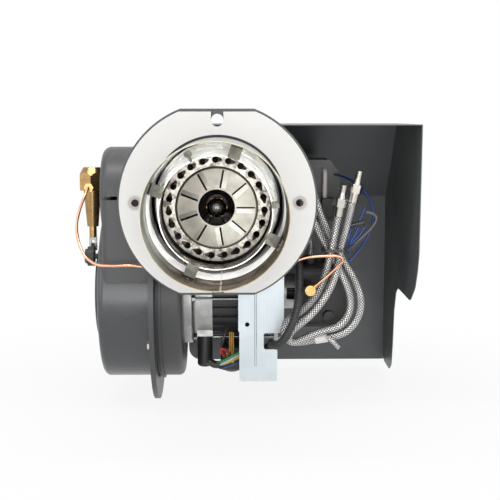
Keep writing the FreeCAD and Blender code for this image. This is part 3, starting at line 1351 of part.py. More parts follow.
def oil_pump():
    body = plate_x([(PUMP_Y[0], PUMP_Z[0], PUMP_CORNER), (PUMP_Y[1], PUMP_Z[0], PUMP_CORNER),
                    (PUMP_Y[1], PUMP_Z[1], PUMP_CORNER), (PUMP_Y[0], PUMP_Z[1], PUMP_CORNER)],
                   (PUMP_LEFT, PUMP_RIGHT))
    for x in PUMP_PORT_X:
        top = PUMP_Z[1] + PUMP_PORT_HEIGHT
        port = rod(PUMP_PORT_R, Vec(x, PUMP_PORT_Y, PUMP_Z[1] - 1), Vec(x, PUMP_PORT_Y, top - 1))
        collar = hex_bar(PUMP_PORT_HEX, Vec(x, PUMP_PORT_Y, top - PUMP_PORT_NUT), Vec(x, PUMP_PORT_Y, top))
        body = body.fuse([port, collar])
    front = PUMP_Y[0]
    stub = rod(UNION_PIPE_R, Vec(UNION_X, UNION_Y[1], UNION_Z), Vec(UNION_X, front + 1, UNION_Z))
    regulator = rod(REGULATOR_R, Vec(REGULATOR_X, front - REGULATOR_LENGTH, REGULATOR_Z),
                    Vec(REGULATOR_X, front + 1, REGULATOR_Z))
    body = body.fuse([stub, regulator])
    pocket = box(PUMP_POCKET_X, (front - 1, front + PUMP_POCKET_DEPTH), PUMP_POCKET_Z)
    bore = fan_disc(PUMP_SHAFT_R + RUN_FIT, PUMP_LEFT - 1, PUMP_SHAFT_END + 2)
    return body.cut([pocket, bore]).removeSplitter()


def pump_cover():
    front = PUMP_Y[0] + PUMP_COVER_INSET
    back = PUMP_Y[1] - PUMP_COVER_INSET
    low = PUMP_Z[0] + PUMP_COVER_LOW
    high = PUMP_Z[1] - PUMP_COVER_HIGH
    corner = PUMP_COVER_CORNER
    face_x = PUMP_RIGHT + PUMP_COVER_THICK - PUMP_SCREW_HEAD
    body = plate_x([(front, low, corner), (back, low, corner), (back, high, corner), (front, high, corner)],
                   (PUMP_RIGHT, face_x))
    screws = []
    margin = PUMP_SCREW_MARGIN
    for y in (front + margin, (front + back) / 2, back - margin):
        for z in (low + margin, high - margin):
            screws.append(rod(PUMP_SCREW_R, Vec(face_x - 1, y, z), Vec(face_x + PUMP_SCREW_HEAD, y, z)))
    return body.multiFuse(screws).removeSplitter()


def union_boss_direction():
    return Vec(0.75, -0.08, 0.655).normalize()


def pump_union():
    body = rod(UNION_R, Vec(UNION_X, UNION_Y[0], UNION_Z), Vec(UNION_X, UNION_Y[1], UNION_Z))
    head = hex_bar(UNION_HEX, Vec(UNION_X, UNION_Y[0] - UNION_HEAD, UNION_Z),
                   Vec(UNION_X, UNION_Y[0] + 1, UNION_Z))
    centre = Vec(UNION_X, sum(UNION_Y) / 2, UNION_Z)
    boss = rod(UNION_BOSS_R, centre, centre.add(union_boss_direction() * UNION_BOSS))
    return joined([body, head, boss])


def control_base():
    left = BODY_RIGHT
    right = BODY_RIGHT + BASE_THICK
    front = CONTROL_Y[0] - BASE_MARGIN
    back = CONTROL_Y[1] + BASE_MARGIN
    bottom = CONTROL_Z[0] - BASE_MARGIN
    top = CONTROL_Z[1] + BASE_MARGIN
    corner = BASE_ROUND
    body = plate_x([(front, bottom, corner), (back, bottom, corner), (back, top, corner),
                    (front, top, corner)], (left, right))
    x = (left + right) / 2 + GLAND_SHIFT
    glands = []
    for i in range(GLAND_COUNT):
        y = GLAND_Y + i * GLAND_PITCH
        glands.append(rod(GLAND_R, Vec(x, y, bottom - GLAND_LENGTH), Vec(x, y, bottom + 1)))
    return body.multiFuse(glands).removeSplitter()


def control_box():
    left = BODY_RIGHT + BASE_THICK
    bottom, top = CONTROL_Z
    cut = CONTROL_CHAMFER
    corner = CONTROL_ROUND
    body = plate_y([(left, bottom, corner), (CONTROL_RIGHT, bottom, corner),
                    (CONTROL_RIGHT, top - cut, corner), (CONTROL_RIGHT - cut * 0.7, top, corner),
                    (left, top, corner)], CONTROL_Y)
    bore = rod(BUTTON_R + RUN_FIT, Vec(CONTROL_RIGHT - BUTTON_DEPTH - BUTTON_TRAVEL, BUTTON_Y, BUTTON_Z),
               Vec(CONTROL_RIGHT + 1, BUTTON_Y, BUTTON_Z))
    line_y = CONTROL_Y[0] + CONTROL_LINE_Y
    line = box((left + BASE_MARGIN, CONTROL_RIGHT + 1), (line_y, line_y + CONTROL_LINE_WIDTH),
               (bottom - 1, bottom + 1))
    return body.cut([bore, line])


def reset_button():
    body = rod(BUTTON_R, Vec(CONTROL_RIGHT - BUTTON_DEPTH, BUTTON_Y, BUTTON_Z),
               Vec(CONTROL_RIGHT + BUTTON_PROUD, BUTTON_Y, BUTTON_Z))
    edges = [edge for edge in body.Edges if edge.BoundBox.XMin > CONTROL_RIGHT + BUTTON_PROUD - 0.1]
    return body.makeFillet(1.5, edges)


def ignition_transformer():
    corner = TRANSFORMER_ROUND
    left, right = TRANSFORMER_X
    front, back = TRANSFORMER_Y
    bottom, top = TRANSFORMER_Z
    body = rounded_box(TRANSFORMER_X, TRANSFORMER_Y, TRANSFORMER_Z, corner)
    seat = box((left, left + TRANSFORMER_SEAT), (front + corner, back - corner),
               (bottom + corner, top - corner))
    y = (front + back) / 2
    outlets = []
    for x in (left + OUTLET_POST_INSET, right - OUTLET_POST_INSET):
        outlets.append(rod(OUTLET_POST_R, Vec(x, y, bottom - OUTLET_POST_LENGTH), Vec(x, y, bottom + 1)))
    return body.multiFuse([seat] + outlets).removeSplitter()


def support_bracket():
    front = BRACKET_Y
    back = BRACKET_Y + BRACKET_THICK
    top = BODY_BOTTOM
    jog = BRACKET_LEFT + BRACKET_JOG
    body = plate_y([(BRACKET_LEFT, top, 0), (BRACKET_LEFT, BRACKET_JOG_Z, 0), (jog, BRACKET_JOG_Z - 2, 0),
                    (jog, BRACKET_BOTTOM, 4), (BRACKET_LOWER_RIGHT, BRACKET_BOTTOM, 4),
                    (BRACKET_LOWER_RIGHT, BRACKET_STEP_Z, 2), (BRACKET_NOTCH_X, BRACKET_STEP_Z, 3),
                    (BRACKET_NOTCH_X, BRACKET_UPPER_Z, 3), (BRACKET_RIGHT, BRACKET_UPPER_Z, 3),
                    (BRACKET_RIGHT, top, 0)], (front, back))
    seat = box((BRACKET_LEFT, BRACKET_RIGHT - 8), (front, front + BRACKET_SEAT), (top - BRACKET_THICK, top))
    side = box((BRACKET_LEFT, BRACKET_LEFT + BRACKET_THICK), (front, front + BRACKET_RETURN),
               (BRACKET_JOG_Z + 3, top))
    foot = box((jog + 4, BRACKET_LOWER_RIGHT - 4), (front, front + BRACKET_RETURN),
               (BRACKET_BOTTOM, BRACKET_BOTTOM + BRACKET_THICK))
    rib_x = BRACKET_RIB_X
    rib = box(rib_x, (front - BRACKET_RIB_RISE, front + 0.5), (BRACKET_RIB_BOTTOM, top - 8))
    rib_edges = [edge for edge in rib.Edges if edge.BoundBox.YMax < front - BRACKET_RIB_RISE + 0.1]
    rib = rib.makeChamfer(BRACKET_RIB_RISE * 0.7, rib_edges)
    body = joined([body, seat, side, foot, rib])
    hole = bolt_hole(BRACKET_HOLE_X, BRACKET_HOLE_Z, BRACKET_HOLE_R, (front, back))
    return body.cut(hole)


def hood_side_corners():
    # The side panel follows the bent sheet above and behind, and is cut away below and in front.
    corners = [(HOOD_FRONT, HOOD_TOP, HOOD_FRONT_ROUND), (HOOD_SLOPE_Y, HOOD_TOP, HOOD_BEND_R),
               (HOOD_BACK, HOOD_SLOPE_Z, HOOD_BEND_R), (HOOD_BACK, HOOD_BOTTOM, HOOD_CORNER_R)]
    return corners + HOOD_SIDE_CUT


def hood_band_corners(inset, top_front):
    # The bent sheet seen from the side, from the top's front edge to the back's lower edge.
    outer = [(top_front, HOOD_TOP, 0), (HOOD_SLOPE_Y, HOOD_TOP, HOOD_BEND_R),
             (HOOD_BACK, HOOD_SLOPE_Z, HOOD_BEND_R), (HOOD_BACK, HOOD_BOTTOM, 0)]
    slope = math.atan2(HOOD_TOP - HOOD_SLOPE_Z, HOOD_BACK - HOOD_SLOPE_Y)
    top_shift = inset * math.tan(slope / 2)
    back_shift = inset * math.tan((math.pi / 2 - slope) / 2)
    bend = max(0.5, HOOD_BEND_R - inset)
    inner = [(HOOD_BACK - inset, HOOD_BOTTOM, 0), (HOOD_BACK - inset, HOOD_SLOPE_Z - back_shift, bend),
             (HOOD_SLOPE_Y - top_shift, HOOD_TOP - inset, bend), (top_front, HOOD_TOP - inset, 0)]
    return outer + inner


def hood():
    band = plate_x(hood_band_corners(HOOD_SHEET, HOOD_FRONT), (HOOD_LEFT, HOOD_RIGHT))
    trim = plate_y([(HOOD_LEFT, HOOD_BOTTOM, HOOD_CORNER_R), (HOOD_RIGHT, HOOD_BOTTOM, HOOD_FRONT_ROUND),
                    (HOOD_RIGHT, HOOD_TOP + 1, 0), (HOOD_LEFT, HOOD_TOP + 1, 0)],
                   (HOOD_FRONT - 1, HOOD_BACK + 1))
    band = band.common(trim)
    side = plate_x(hood_side_corners(), (HOOD_RIGHT - HOOD_SHEET, HOOD_RIGHT))
    lip = plate_x(hood_band_corners(HOOD_LIP, HOOD_FRONT + HOOD_LIP_SETBACK),
                  (HOOD_LEFT, HOOD_LEFT + HOOD_SHEET))
    lip = lip.common(box((HOOD_LEFT, HOOD_RIGHT), (HOOD_FRONT, HOOD_BACK),
                         (HOOD_BOTTOM + HOOD_LIP_BOTTOM, HOOD_TOP)))
    body = joined([band, side, lip])
    for x, y in HOOD_POSTS:
        body = body.cut(rod(HOOD_HOLE_R, Vec(x, y, HOOD_TOP - HOOD_SHEET - 1), Vec(x, y, HOOD_TOP + 1)))
    return body


def hood_posts():
    shapes = []
    for x, y in HOOD_POSTS:
        post = rod(HOOD_POST_R, Vec(x, y, BODY_TOP), Vec(x, y, HOOD_TOP - HOOD_SHEET))
        bore = rod(HOOD_SHANK_R + RUN_FIT, Vec(x, y, HOOD_TOP - HOOD_POST_BORE), Vec(x, y, HOOD_TOP))
        shapes.append(post.cut(bore))
    return Part.makeCompound(shapes)


def hood_screws():
    shapes = []
    for x, y in HOOD_POSTS:
        head = rod(HOOD_SCREW_R, Vec(x, y, HOOD_TOP), Vec(x, y, HOOD_TOP + HOOD_SCREW_HEIGHT))
        edges = [edge for edge in head.Edges if edge.BoundBox.ZMin > HOOD_TOP + HOOD_SCREW_HEIGHT - 0.1]
        head = head.makeFillet(HOOD_SCREW_ROUND, edges)
        shank = rod(HOOD_SHANK_R, Vec(x, y, HOOD_TOP - HOOD_SHANK_LENGTH), Vec(x, y, HOOD_TOP + 1))
        shapes.append(head.fuse(shank))
    return Part.makeCompound(shapes)


# Oil hoses, conduit, pipe and leads: diameters and routes
HOSE_DIAMETER = 11.0
CONDUIT_DIAMETER = 12.2
WIRE_DIAMETER = 3.4
CABLE_DIAMETER = 5.0
WHITE_DIAMETER = 7.2
PIPE_DROP = COLLAR_R + 5.0

OUTER_HOSE_ROUTE = [
    (138, 150, -92), (138, 150, -75), (133.5, 142, -57), (125, 127, -40), (116, 121, -19),
    (109, 117, 3), (107, 107, 24), (111, 90, 38), (119, 71, 39), (128, 55, 27), (136, 47, 6),
    (144, 46, -19), (157, 53, -46), (170, 60, -71), (182, 62, -93), (194, 62.5, -112),
    (203.5, 63, -135), (205, 64, -158), (197, 65, -180), (181, 66, -195), (159, 67, -200.5),
    (138, 68, -204), (117, 70, -208.5), (103, 71, -207), (94, 71, -196), (96, 70, -182),
    (107, 68, -170), (129, 63.5, -153), (145.5, 58, -128), (154, 50, -99), (160, 45, -70),
    (164, 40, -46), (168, 36, -21)]
INNER_HOSE_ROUTE = [
    (166, 150, -92), (166, 150, -76), (162, 143, -59), (152, 131, -47), (140, 123, -38),
    (130, 116, -25), (122, 107, -8), (118, 95, 8), (120, 79, 17), (124, 64, 10), (129, 54, -8),
    (136, 51, -32), (147, 54, -54), (158.5, 59, -73), (169, 59.5, -92), (178, 60, -111),
    (187, 60.5, -131), (190.5, 61, -152), (185, 62, -172), (172, 62, -185), (154, 62, -189),
    (137, 61, -194), (121, 58, -201.5), (108, 55, -205.5), (99, 48, -200), (102, 42.5, -188),
    (114, 43, -177.5), (130, 44, -165), (148, 46, -144), (162, 47.5, -120), (170, 47.5, -94),
    (173, 46, -70), (178.2, 40.5, -47), (183.3, 37, -24), (188, 34, -1.4)]
CONDUIT_ROUTE = [
    (101.5, 146, -54), (101.5, 146, -66), (103, 134, -77), (107, 115, -81), (111, 93, -83),
    (115, 71, -90), (115.5, 53, -107), (115, 43, -126), (112.5, 34, -146), (107.5, 28, -166),
    (99.5, 27, -185), (90, 36, -202), (83, 53, -210), (78, 70, -211), (77, 88, -213),
    (77.5, 104, -218), (75, 118, -225), (68, 128.5, -230), (60, 128.5, -230)]
COPPER_ROUTE = [
    (-188.5, 104, 14), (-188.5, 95, 14), (-192, 85, 3), (-198, 78, -14), (-203, 71, -36),
    (-199, 60, -60), (-188, 46, -80), (-170, 33, -90), (-143, 22, -89.5), (-118, 19, -88),
    (-85, 19, -93), (-50, 20, 1 - PIPE_DROP), (0, 20, -PIPE_DROP), (60, 20, 0.5 - PIPE_DROP), (92, 23, -92),
    (118, 28, -79), (145, 31, -77), (165, 33, -77), (174, 33.7, -79), (176, 34.3, -85),
    (169, 35.5, -91), (159, 37, -101.7), (148, 38.1, -111.3), (139, 39.05, -119.15)]
BLUE_WIRE_ROUTE = [
    (172, 136, 31), (172.5, 124, 32), (176, 110, 31.5), (184, 97, 29), (195, 86, 24),
    (205, 77, 16), (213, 70, 5), (219, 64, -8), (221, 60, -23), (218.5, 58, -38), (213, 58, -53),
    (204, 60, -68), (195, 63, -80), (187.5, 64, -89)]
GREY_CABLE_ROUTE = [
    (183.5, 50, -71), (191, 48, -64), (200, 46, -55), (210, 45, -46), (219, 44, -36),
    (224, 44, -26), (219, 44, -18), (209, 45, -17)]
WHITE_CABLE_ROUTE = [
    (156.6, 127, -2.5), (156.6, 127, 14), (157, 127.5, 30), (156.6, 130, 38), (156.6, 136, 38)]

# Hose ends, the tie and the sleeve
FERRULE_R = 6.6
FERRULE_LENGTH = 14.0
NUT_FLATS = 17.0
NUT_LENGTH = 12.0
CONE_R = 5.6
CONE_LENGTH = 8.0
PLUG_R = 4.4
PLUG_LENGTH = 11.0
TIE_X = (147.0, 182.0)
TIE_Y = (37.0, 68.0)
TIE_Z = (-73.0, -69.0)
TIE_WALL = 1.2
SLEEVE_BORE_GAP = 0.3
TAG_WALL = 0.9
TAG_RUN = 20
CONTROL_PLUG_X = (151.5, 169.7)
CONTROL_PLUG_Y = 118.0
CONTROL_PLUG_Z = (-31.6, -2.5)
CONTROL_PLUG_ROUND = 2.0


def route(points):
    return [Vec(*point) for point in points]


def hose_end(points):
    # Ferrule, hexagon nut, cone and blanking plug in line with the hose's last run.
    lead = points[-1].sub(points[-2]).normalize()
    start = points[-1]
    ferrule = rod(FERRULE_R, start, start.add(lead * FERRULE_LENGTH))
    nut_start = start.add(lead * FERRULE_LENGTH)
    nut = hex_bar(NUT_FLATS, nut_start, nut_start.add(lead * NUT_LENGTH))
    chamfer = turned([(0, 0), (0, NUT_FLATS * 0.54), (1.2, NUT_FLATS * 0.58),
                      (NUT_LENGTH - 1.2, NUT_FLATS * 0.58), (NUT_LENGTH, NUT_FLATS * 0.54),
                      (NUT_LENGTH, 0)], nut_start, lead)
    nut = nut.common(chamfer)
    cone_start = nut_start.add(lead * NUT_LENGTH)
    cone = Part.makeCone(CONE_R, PLUG_R, CONE_LENGTH, cone_start, lead)
    plug_start = cone_start.add(lead * CONE_LENGTH)
    plug = rod(PLUG_R, plug_start, plug_start.add(lead * PLUG_LENGTH))
    return joined([ferrule, nut, cone, plug])


def hose_ends():
    return Part.makeCompound([hose_end(route(OUTER_HOSE_ROUTE)), hose_end(route(INNER_HOSE_ROUTE))])


def tie_loop(inset, z_span):
    left, right = TIE_X[0] + inset, TIE_X[1] - inset
    front, back = TIE_Y[0] + inset, TIE_Y[1] - inset
    radius = HOSE_DIAMETER / 2 + TIE_WALL - inset
    return plate_z([(left, front, radius), (right, front, radius), (right, back, radius),
                    (left, back, radius)], z_span)


def hose_tie():
    return tie_loop(0, TIE_Z).cut(tie_loop(TIE_WALL, (TIE_Z[0] - 1, TIE_Z[1] + 1)))


def hose_sleeve():
    points = route(OUTER_HOSE_ROUTE)
    start = points[TAG_RUN]
    lead = points[TAG_RUN + 1].sub(start)
    inset = 0.08
    bore = HOSE_DIAMETER / 2 + SLEEVE_BORE_GAP
    return ring(bore + TAG_WALL, bore, start.add(lead * inset), start.add(lead * (1 - inset)))


def control_plug():
    corner = CONTROL_PLUG_ROUND
    back = CONTROL_Y[0]
    left, right = CONTROL_PLUG_X
    bottom, top = CONTROL_PLUG_Z
    body = rounded_box(CONTROL_PLUG_X, (CONTROL_PLUG_Y, back - 0.01), CONTROL_PLUG_Z, corner)
    seat = box((left + corner, right - corner), (back - 2 * corner, back), (bottom + corner, top - corner))
    return body.fuse(seat).removeSplitter()


def build_parts():
    return {
        "flange_gasket": flange_gasket(),
        "flange_plate": flange_plate(),
        "hex_screws": Part.makeCompound([flange_screws(), scroll_screws()]),
        "blast_tube": blast_tube(),
        "head_sleeve": head_sleeve(),
        "sleeve_straps": Part.makeCompound([sleeve_straps(), sleeve_locators()]),
        "diffuser_disc": diffuser_disc(),
        "disc_carrier": disc_carrier(),
        "nozzle": nozzle(),
        "nozzle_holder": nozzle_holder(),
        "electrode_ceramics": electrode_ceramics(),
        "electrode_rods": electrode_rods(),
        "electrode_clamp": electrode_clamp(),
        "head_body": head_body(),
        "rear_cover": rear_cover(),
        "cover_screws": Part.makeCompound([rear_cover_screws(), hood_screws()]),
        "sight_glass": sight_glass(),
        "flame_sensor": flame_sensor(),
        "scroll_left": scroll_left(),
        "scroll_right": scroll_right(),
        "inlet_ring": inlet_ring(),
        "inlet_cover": inlet_cover(),
        "intake_housing": intake_housing(),
        "damper": damper(),
        "ram_body": ram_body(),
        "ram_bracket": ram_bracket(),
        "ram_rod": ram_rod(),
        "fan_wheel": fan_wheel(),
        "motor_shaft": motor_shaft(),
        "drive_coupling": drive_coupling(),
        "motor_plate": motor_plate(),
        "motor_end_shield": motor_end_shield(),
        "motor_body": motor_body(),
        "motor_rear_shield": motor_rear_shield(),
        "tie_rods": tie_rods(),
        "motor_plug": motor_plug(),
        "terminal_tabs": terminal_tabs(),
        "capacitor": capacitor(),
        "pump_hub": pump_hub(),
        "oil_pump": oil_pump(),
        "pump_cover": pump_cover(),
        "pipe_fittings": Part.makeCompound([ram_pipe_nut(), pump_union()]),
        "copper_pipe": round_pipe(route(COPPER_ROUTE), PIPE_DIAMETER, "copper_pipe"),
        "control_base": control_base(),
        "control_box": control_box(),
        "control_plug": control_plug(),
        "reset_button": reset_button(),
        "ignition_transformer": ignition_transformer(),
        "support_bracket": support_bracket(),
        "hood": hood(),
        "hood_posts": hood_posts(),
        "hose_outer": round_pipe(route(OUTER_HOSE_ROUTE), HOSE_DIAMETER, "hose_outer"),
        "hose_inner": round_pipe(route(INNER_HOSE_ROUTE), HOSE_DIAMETER, "hose_inner"),
        "hose_ends": hose_ends(),
        "hose_tie": hose_tie(),
        "hose_sleeve": hose_sleeve(),
        "conduit": round_pipe(route(CONDUIT_ROUTE), CONDUIT_DIAMETER, "conduit"),
        "blue_wire": round_pipe(route(BLUE_WIRE_ROUTE), WIRE_DIAMETER, "blue_wire"),
        "grey_cable": round_pipe(route(GREY_CABLE_ROUTE), CABLE_DIAMETER, "grey_cable"),
        "white_cable": round_pipe(route(WHITE_CABLE_ROUTE), WHITE_DIAMETER, "white_cable"),
    }


os.makedirs("parts", exist_ok=True)
for part_name, part_shape in build_parts().items():
    part_shape.exportStep("parts/" + part_name + ".step")
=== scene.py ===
import bpy
import bmesh
import math
from mathutils import Matrix, Vector


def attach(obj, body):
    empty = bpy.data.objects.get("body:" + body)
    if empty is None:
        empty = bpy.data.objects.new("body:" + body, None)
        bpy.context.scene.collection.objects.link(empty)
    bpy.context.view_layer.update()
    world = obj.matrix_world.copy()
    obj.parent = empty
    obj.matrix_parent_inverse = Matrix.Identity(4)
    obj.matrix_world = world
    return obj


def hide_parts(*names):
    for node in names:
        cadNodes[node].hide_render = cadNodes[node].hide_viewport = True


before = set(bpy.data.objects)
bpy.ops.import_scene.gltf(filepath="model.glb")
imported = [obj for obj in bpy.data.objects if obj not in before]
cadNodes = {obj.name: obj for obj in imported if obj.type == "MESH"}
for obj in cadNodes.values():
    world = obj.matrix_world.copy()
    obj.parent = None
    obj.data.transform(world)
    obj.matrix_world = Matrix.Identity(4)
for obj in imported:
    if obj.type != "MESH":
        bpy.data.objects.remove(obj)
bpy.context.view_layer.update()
print("frame loaded with", len(cadNodes), "nodes")


def addObject(name, data):
    thing = bpy.data.objects.new(name, data)
    bpy.context.scene.collection.objects.link(thing)
    return thing


# camera first
cameraView = {
    "place": (0.0219, -1.450, 0.1188),
    "tilt": 82.8,
    "turn": -0.885,
    "lens": 76.9,
    "sensor": 36.0,
    "clip": (0.05, 20.0),
}


def makeCamera(view):
    data = bpy.data.cameras.new("photoCamera")
    data.lens = view["lens"]
    data.sensor_width = view["sensor"]
    data.clip_start, data.clip_end = view["clip"]
    camera = addObject("photoCamera", data)
    camera.location = view["place"]
    camera.rotation_euler = (math.radians(view["tilt"]), 0, math.radians(view["turn"]))
    bpy.context.scene.camera = camera


makeCamera(cameraView)
print("camera placed")


# small helpers for node trees
def addNode(tree, kind, values=None, **settings):
    node = tree.nodes.new(kind)
    for key, value in settings.items():
        setattr(node, key, value)
    for key, value in (values or {}).items():
        if isinstance(value, bpy.types.NodeSocket):
            tree.links.new(value, node.inputs[key])
        else:
            node.inputs[key].default_value = value
    return node


def mathNode(tree, operation, first, second=0.0):
    return addNode(tree, "ShaderNodeMath", {0: first, 1: second}, operation=operation).outputs[0]


def times(tree, first, second):
    return mathNode(tree, "MULTIPLY", first, second)


def vectorNode(tree, operation, *values):
    node = addNode(tree, "ShaderNodeVectorMath", dict(enumerate(values)), operation=operation)
    return node.outputs["Value" if operation in ("LENGTH", "DISTANCE", "DOT_PRODUCT") else "Vector"]


def asColour(value):
    return value if isinstance(value, bpy.types.NodeSocket) else (*value, 1)


def blendColours(tree, factor, first, second):
    # each colour is a socket or three linear values
    values = {0: factor, 6: asColour(first), 7: asColour(second)}
    return addNode(tree, "ShaderNodeMix", values, data_type="RGBA").outputs[2]


def pickValue(tree, factor, first, second):
    return addNode(tree, "ShaderNodeMix", {0: factor, 2: first, 3: second}).outputs[0]


def rampBetween(tree, value, low, high):
    return addNode(tree, "ShaderNodeMapRange", {"Value": value, "From Min": low, "From Max": high},
                   interpolation_type="SMOOTHSTEP").outputs["Result"]


def spreadTo(tree, mask, low, high):
    spread = addNode(tree, "ShaderNodeMapRange", {"Value": mask, "To Min": low, "To Max": high})
    return spread.outputs["Result"]


def objectPlace(tree):
    return addNode(tree, "ShaderNodeTexCoord").outputs["Object"]


def faceNormal(tree):
    return addNode(tree, "ShaderNodeNewGeometry").outputs["Normal"]


def splitVector(tree, vector):
    return addNode(tree, "ShaderNodeSeparateXYZ", {0: vector}).outputs


def startGroup(name, treeKind, inputs, outputs):
    tree = bpy.data.node_groups.new(name, treeKind)
    for way, sockets in (("INPUT", inputs), ("OUTPUT", outputs)):
        for title, kind in sockets.items():
            tree.interface.new_socket(title, in_out=way, socket_type="NodeSocket" + kind)
    return tree, addNode(tree, "NodeGroupInput").outputs, addNode(tree, "NodeGroupOutput").inputs


# shader groups that several finishes use
def makeGrainGroup():
    tree, start, end = startGroup(
        "surfaceGrain", "ShaderNodeTree", {"Scale": "Float", "Height": "Float", "Stretch": "Vector"},
        {"Mask": "Float", "Normal": "Vector"})
    scaled = vectorNode(tree, "MULTIPLY", objectPlace(tree), start["Stretch"])
    noise = addNode(tree, "ShaderNodeTexNoise", {"Vector": scaled, "Scale": start["Scale"], "Detail": 3.0})
    bump = addNode(tree, "ShaderNodeBump", {"Height": noise.outputs[0], "Distance": start["Height"],
                                            "Strength": 1.0})
    tree.links.new(noise.outputs[0], end["Mask"])
    tree.links.new(bump.outputs[0], end["Normal"])
    return tree


def makeToneGroup():
    # large and small patches together, as a soft mask from 0 to 1
    tree, start, end = startGroup(
        "patchyTone", "ShaderNodeTree", {"Scale": "Float", "Low": "Float", "High": "Float"},
        {"Mask": "Float"})
    noise = addNode(tree, "ShaderNodeTexNoise", {"Vector": objectPlace(tree), "Scale": start["Scale"],
                                                 "Detail": 6.0, "Roughness": 0.62, "Distortion": 0.4})
    spread = addNode(tree, "ShaderNodeMapRange", {"Value": noise.outputs[0], "From Min": start["Low"],
                                                  "From Max": start["High"]})
    tree.links.new(spread.outputs["Result"], end["Mask"])
    return tree


dustLook = {"upturned": (0.55, 1.0), "broken": (0.38, 0.66), "detail": 5.0}


def makeDustGroup(look):
    # settles on faces that look up, broken up by fine noise
    tree, start, end = startGroup(
        "settledDust", "ShaderNodeTree", {"Amount": "Float", "Scale": "Float"}, {"Mask": "Float"})
    noise = addNode(tree, "ShaderNodeTexNoise", {"Vector": objectPlace(tree), "Scale": start["Scale"],
                                                 "Detail": look["detail"]})
    upturned = rampBetween(tree, splitVector(tree, faceNormal(tree))["Z"], *look["upturned"])
    broken = times(tree, upturned, rampBetween(tree, noise.outputs[0], *look["broken"]))
    tree.links.new(times(tree, broken, start["Amount"]), end["Mask"])
    return tree


weaveLook = {"finePerStrand": 4, "fineHeight": 0.25, "gap": (0.08, 0.70)}


def strandWave(tree, value, strands=1):
    # a row of rounded strands, each one step of the value wide unless it holds several
    return mathNode(tree, "ABSOLUTE", mathNode(tree, "SINE", times(tree, value, math.pi * strands)))


def makeBraidGroup(look):
    # two families of wire strands that pass over and under each other along a hose
    tree, start, end = startGroup(
        "wireBraid", "ShaderNodeTree", {"Strands": "Float", "Pitch": "Float"},
        {"Height": "Float", "Gap": "Float"})
    unwrapped = splitVector(tree, addNode(tree, "ShaderNodeUVMap", uv_map="alongAround").outputs[0])
    along = mathNode(tree, "DIVIDE", unwrapped["X"], start["Pitch"])
    around = times(tree, unwrapped["Y"], start["Strands"])
    first = mathNode(tree, "ADD", along, around)
    second = mathNode(tree, "SUBTRACT", along, around)
    cell = addNode(tree, "ShaderNodeCombineXYZ", {"X": first, "Y": second, "Z": 0.5})
    over = addNode(tree, "ShaderNodeTexChecker", {"Vector": cell.outputs[0], "Scale": 1.0}).outputs["Fac"]
    firstRound = strandWave(tree, first)
    secondRound = strandWave(tree, second)
    fine = strandWave(tree, pickValue(tree, over, first, second), look["finePerStrand"])
    height = mathNode(tree, "ADD", pickValue(tree, over, firstRound, secondRound),
                      times(tree, fine, look["fineHeight"]))
    tree.links.new(height, end["Height"])
    tree.links.new(rampBetween(tree, times(tree, firstRound, secondRound), *look["gap"]), end["Gap"])
    return tree


grainGroup = makeGrainGroup()
toneGroup = makeToneGroup()
dustGroup = makeDustGroup(dustLook)
braidGroup = makeBraidGroup(weaveLook)


def useGroup(tree, group, values):
    return addNode(tree, "ShaderNodeGroup", values, node_tree=group)


def useTone(tree, scale, low, high):
    return useGroup(tree, toneGroup, {"Scale": scale, "Low": low, "High": high}).outputs[0]


def useGrain(tree, scale, height, stretch=(1, 1, 1)):
    return useGroup(tree, grainGroup, {"Scale": scale, "Height": height, "Stretch": stretch}).outputs


def useDust(tree, amount, scale):
    return useGroup(tree, dustGroup, {"Amount": amount, "Scale": scale}).outputs[0]


def blankMaterial(name):
    material = bpy.data.materials.new(name)
    material.use_nodes = True
    return material, material.node_tree, material.node_tree.nodes["Principled BSDF"]


def connectShader(tree, shader, colour, normal, gloss, metal=0.0):
    # the gloss is a mask and the roughness at its two ends
    tree.links.new(colour, shader.inputs["Base Color"])
    tree.links.new(normal, shader.inputs["Normal"])
    tree.links.new(spreadTo(tree, *gloss), shader.inputs["Roughness"])
    shader.inputs["Metallic"].default_value = metal


# what a plain finish has unless it says otherwise
plainLook = {
    "patchScale": 25.0,
    "patches": (0.35, 0.68),
    "grainScale": 900.0,
    "grainHeight": 0.0001,
    "stretch": (1, 1, 1),
    "grainTone": 0.15,
    "grainColour": (0, 0, 0),
    "dust": 0.0,
    "dustScale": 160.0,
    "dustColour": (0.42, 0.40, 0.37),
    "roughSpread": 0.05,
    "metal": 0.0,
    "coat": 0.0,
    "coatRough": 0.2,
}


def coatedFinish(name, changes):
    # paint, plastic, cast or rolled metal: two tones in patches, grain, dust and uneven gloss
    look = {**plainLook, **changes}
    material, tree, shader = blankMaterial(name)
    tone = useTone(tree, look["patchScale"], *look["patches"])
    fine = useGrain(tree, look["grainScale"], look["grainHeight"], look["stretch"])
    colour = blendColours(tree, tone, look["colour"], look["second"])
    colour = blendColours(tree, times(tree, fine["Mask"], look["grainTone"]), colour, look["grainColour"])
    colour = blendColours(tree, useDust(tree, look["dust"], look["dustScale"]), colour, look["dustColour"])
    gloss = (tone, look["rough"] - look["roughSpread"], look["rough"] + look["roughSpread"])
    connectShader(tree, shader, colour, fine["Normal"], gloss, look["metal"])
    shader.inputs["Coat Weight"].default_value = look["coat"]
    shader.inputs["Coat Roughness"].default_value = look["coatRough"]
    return material


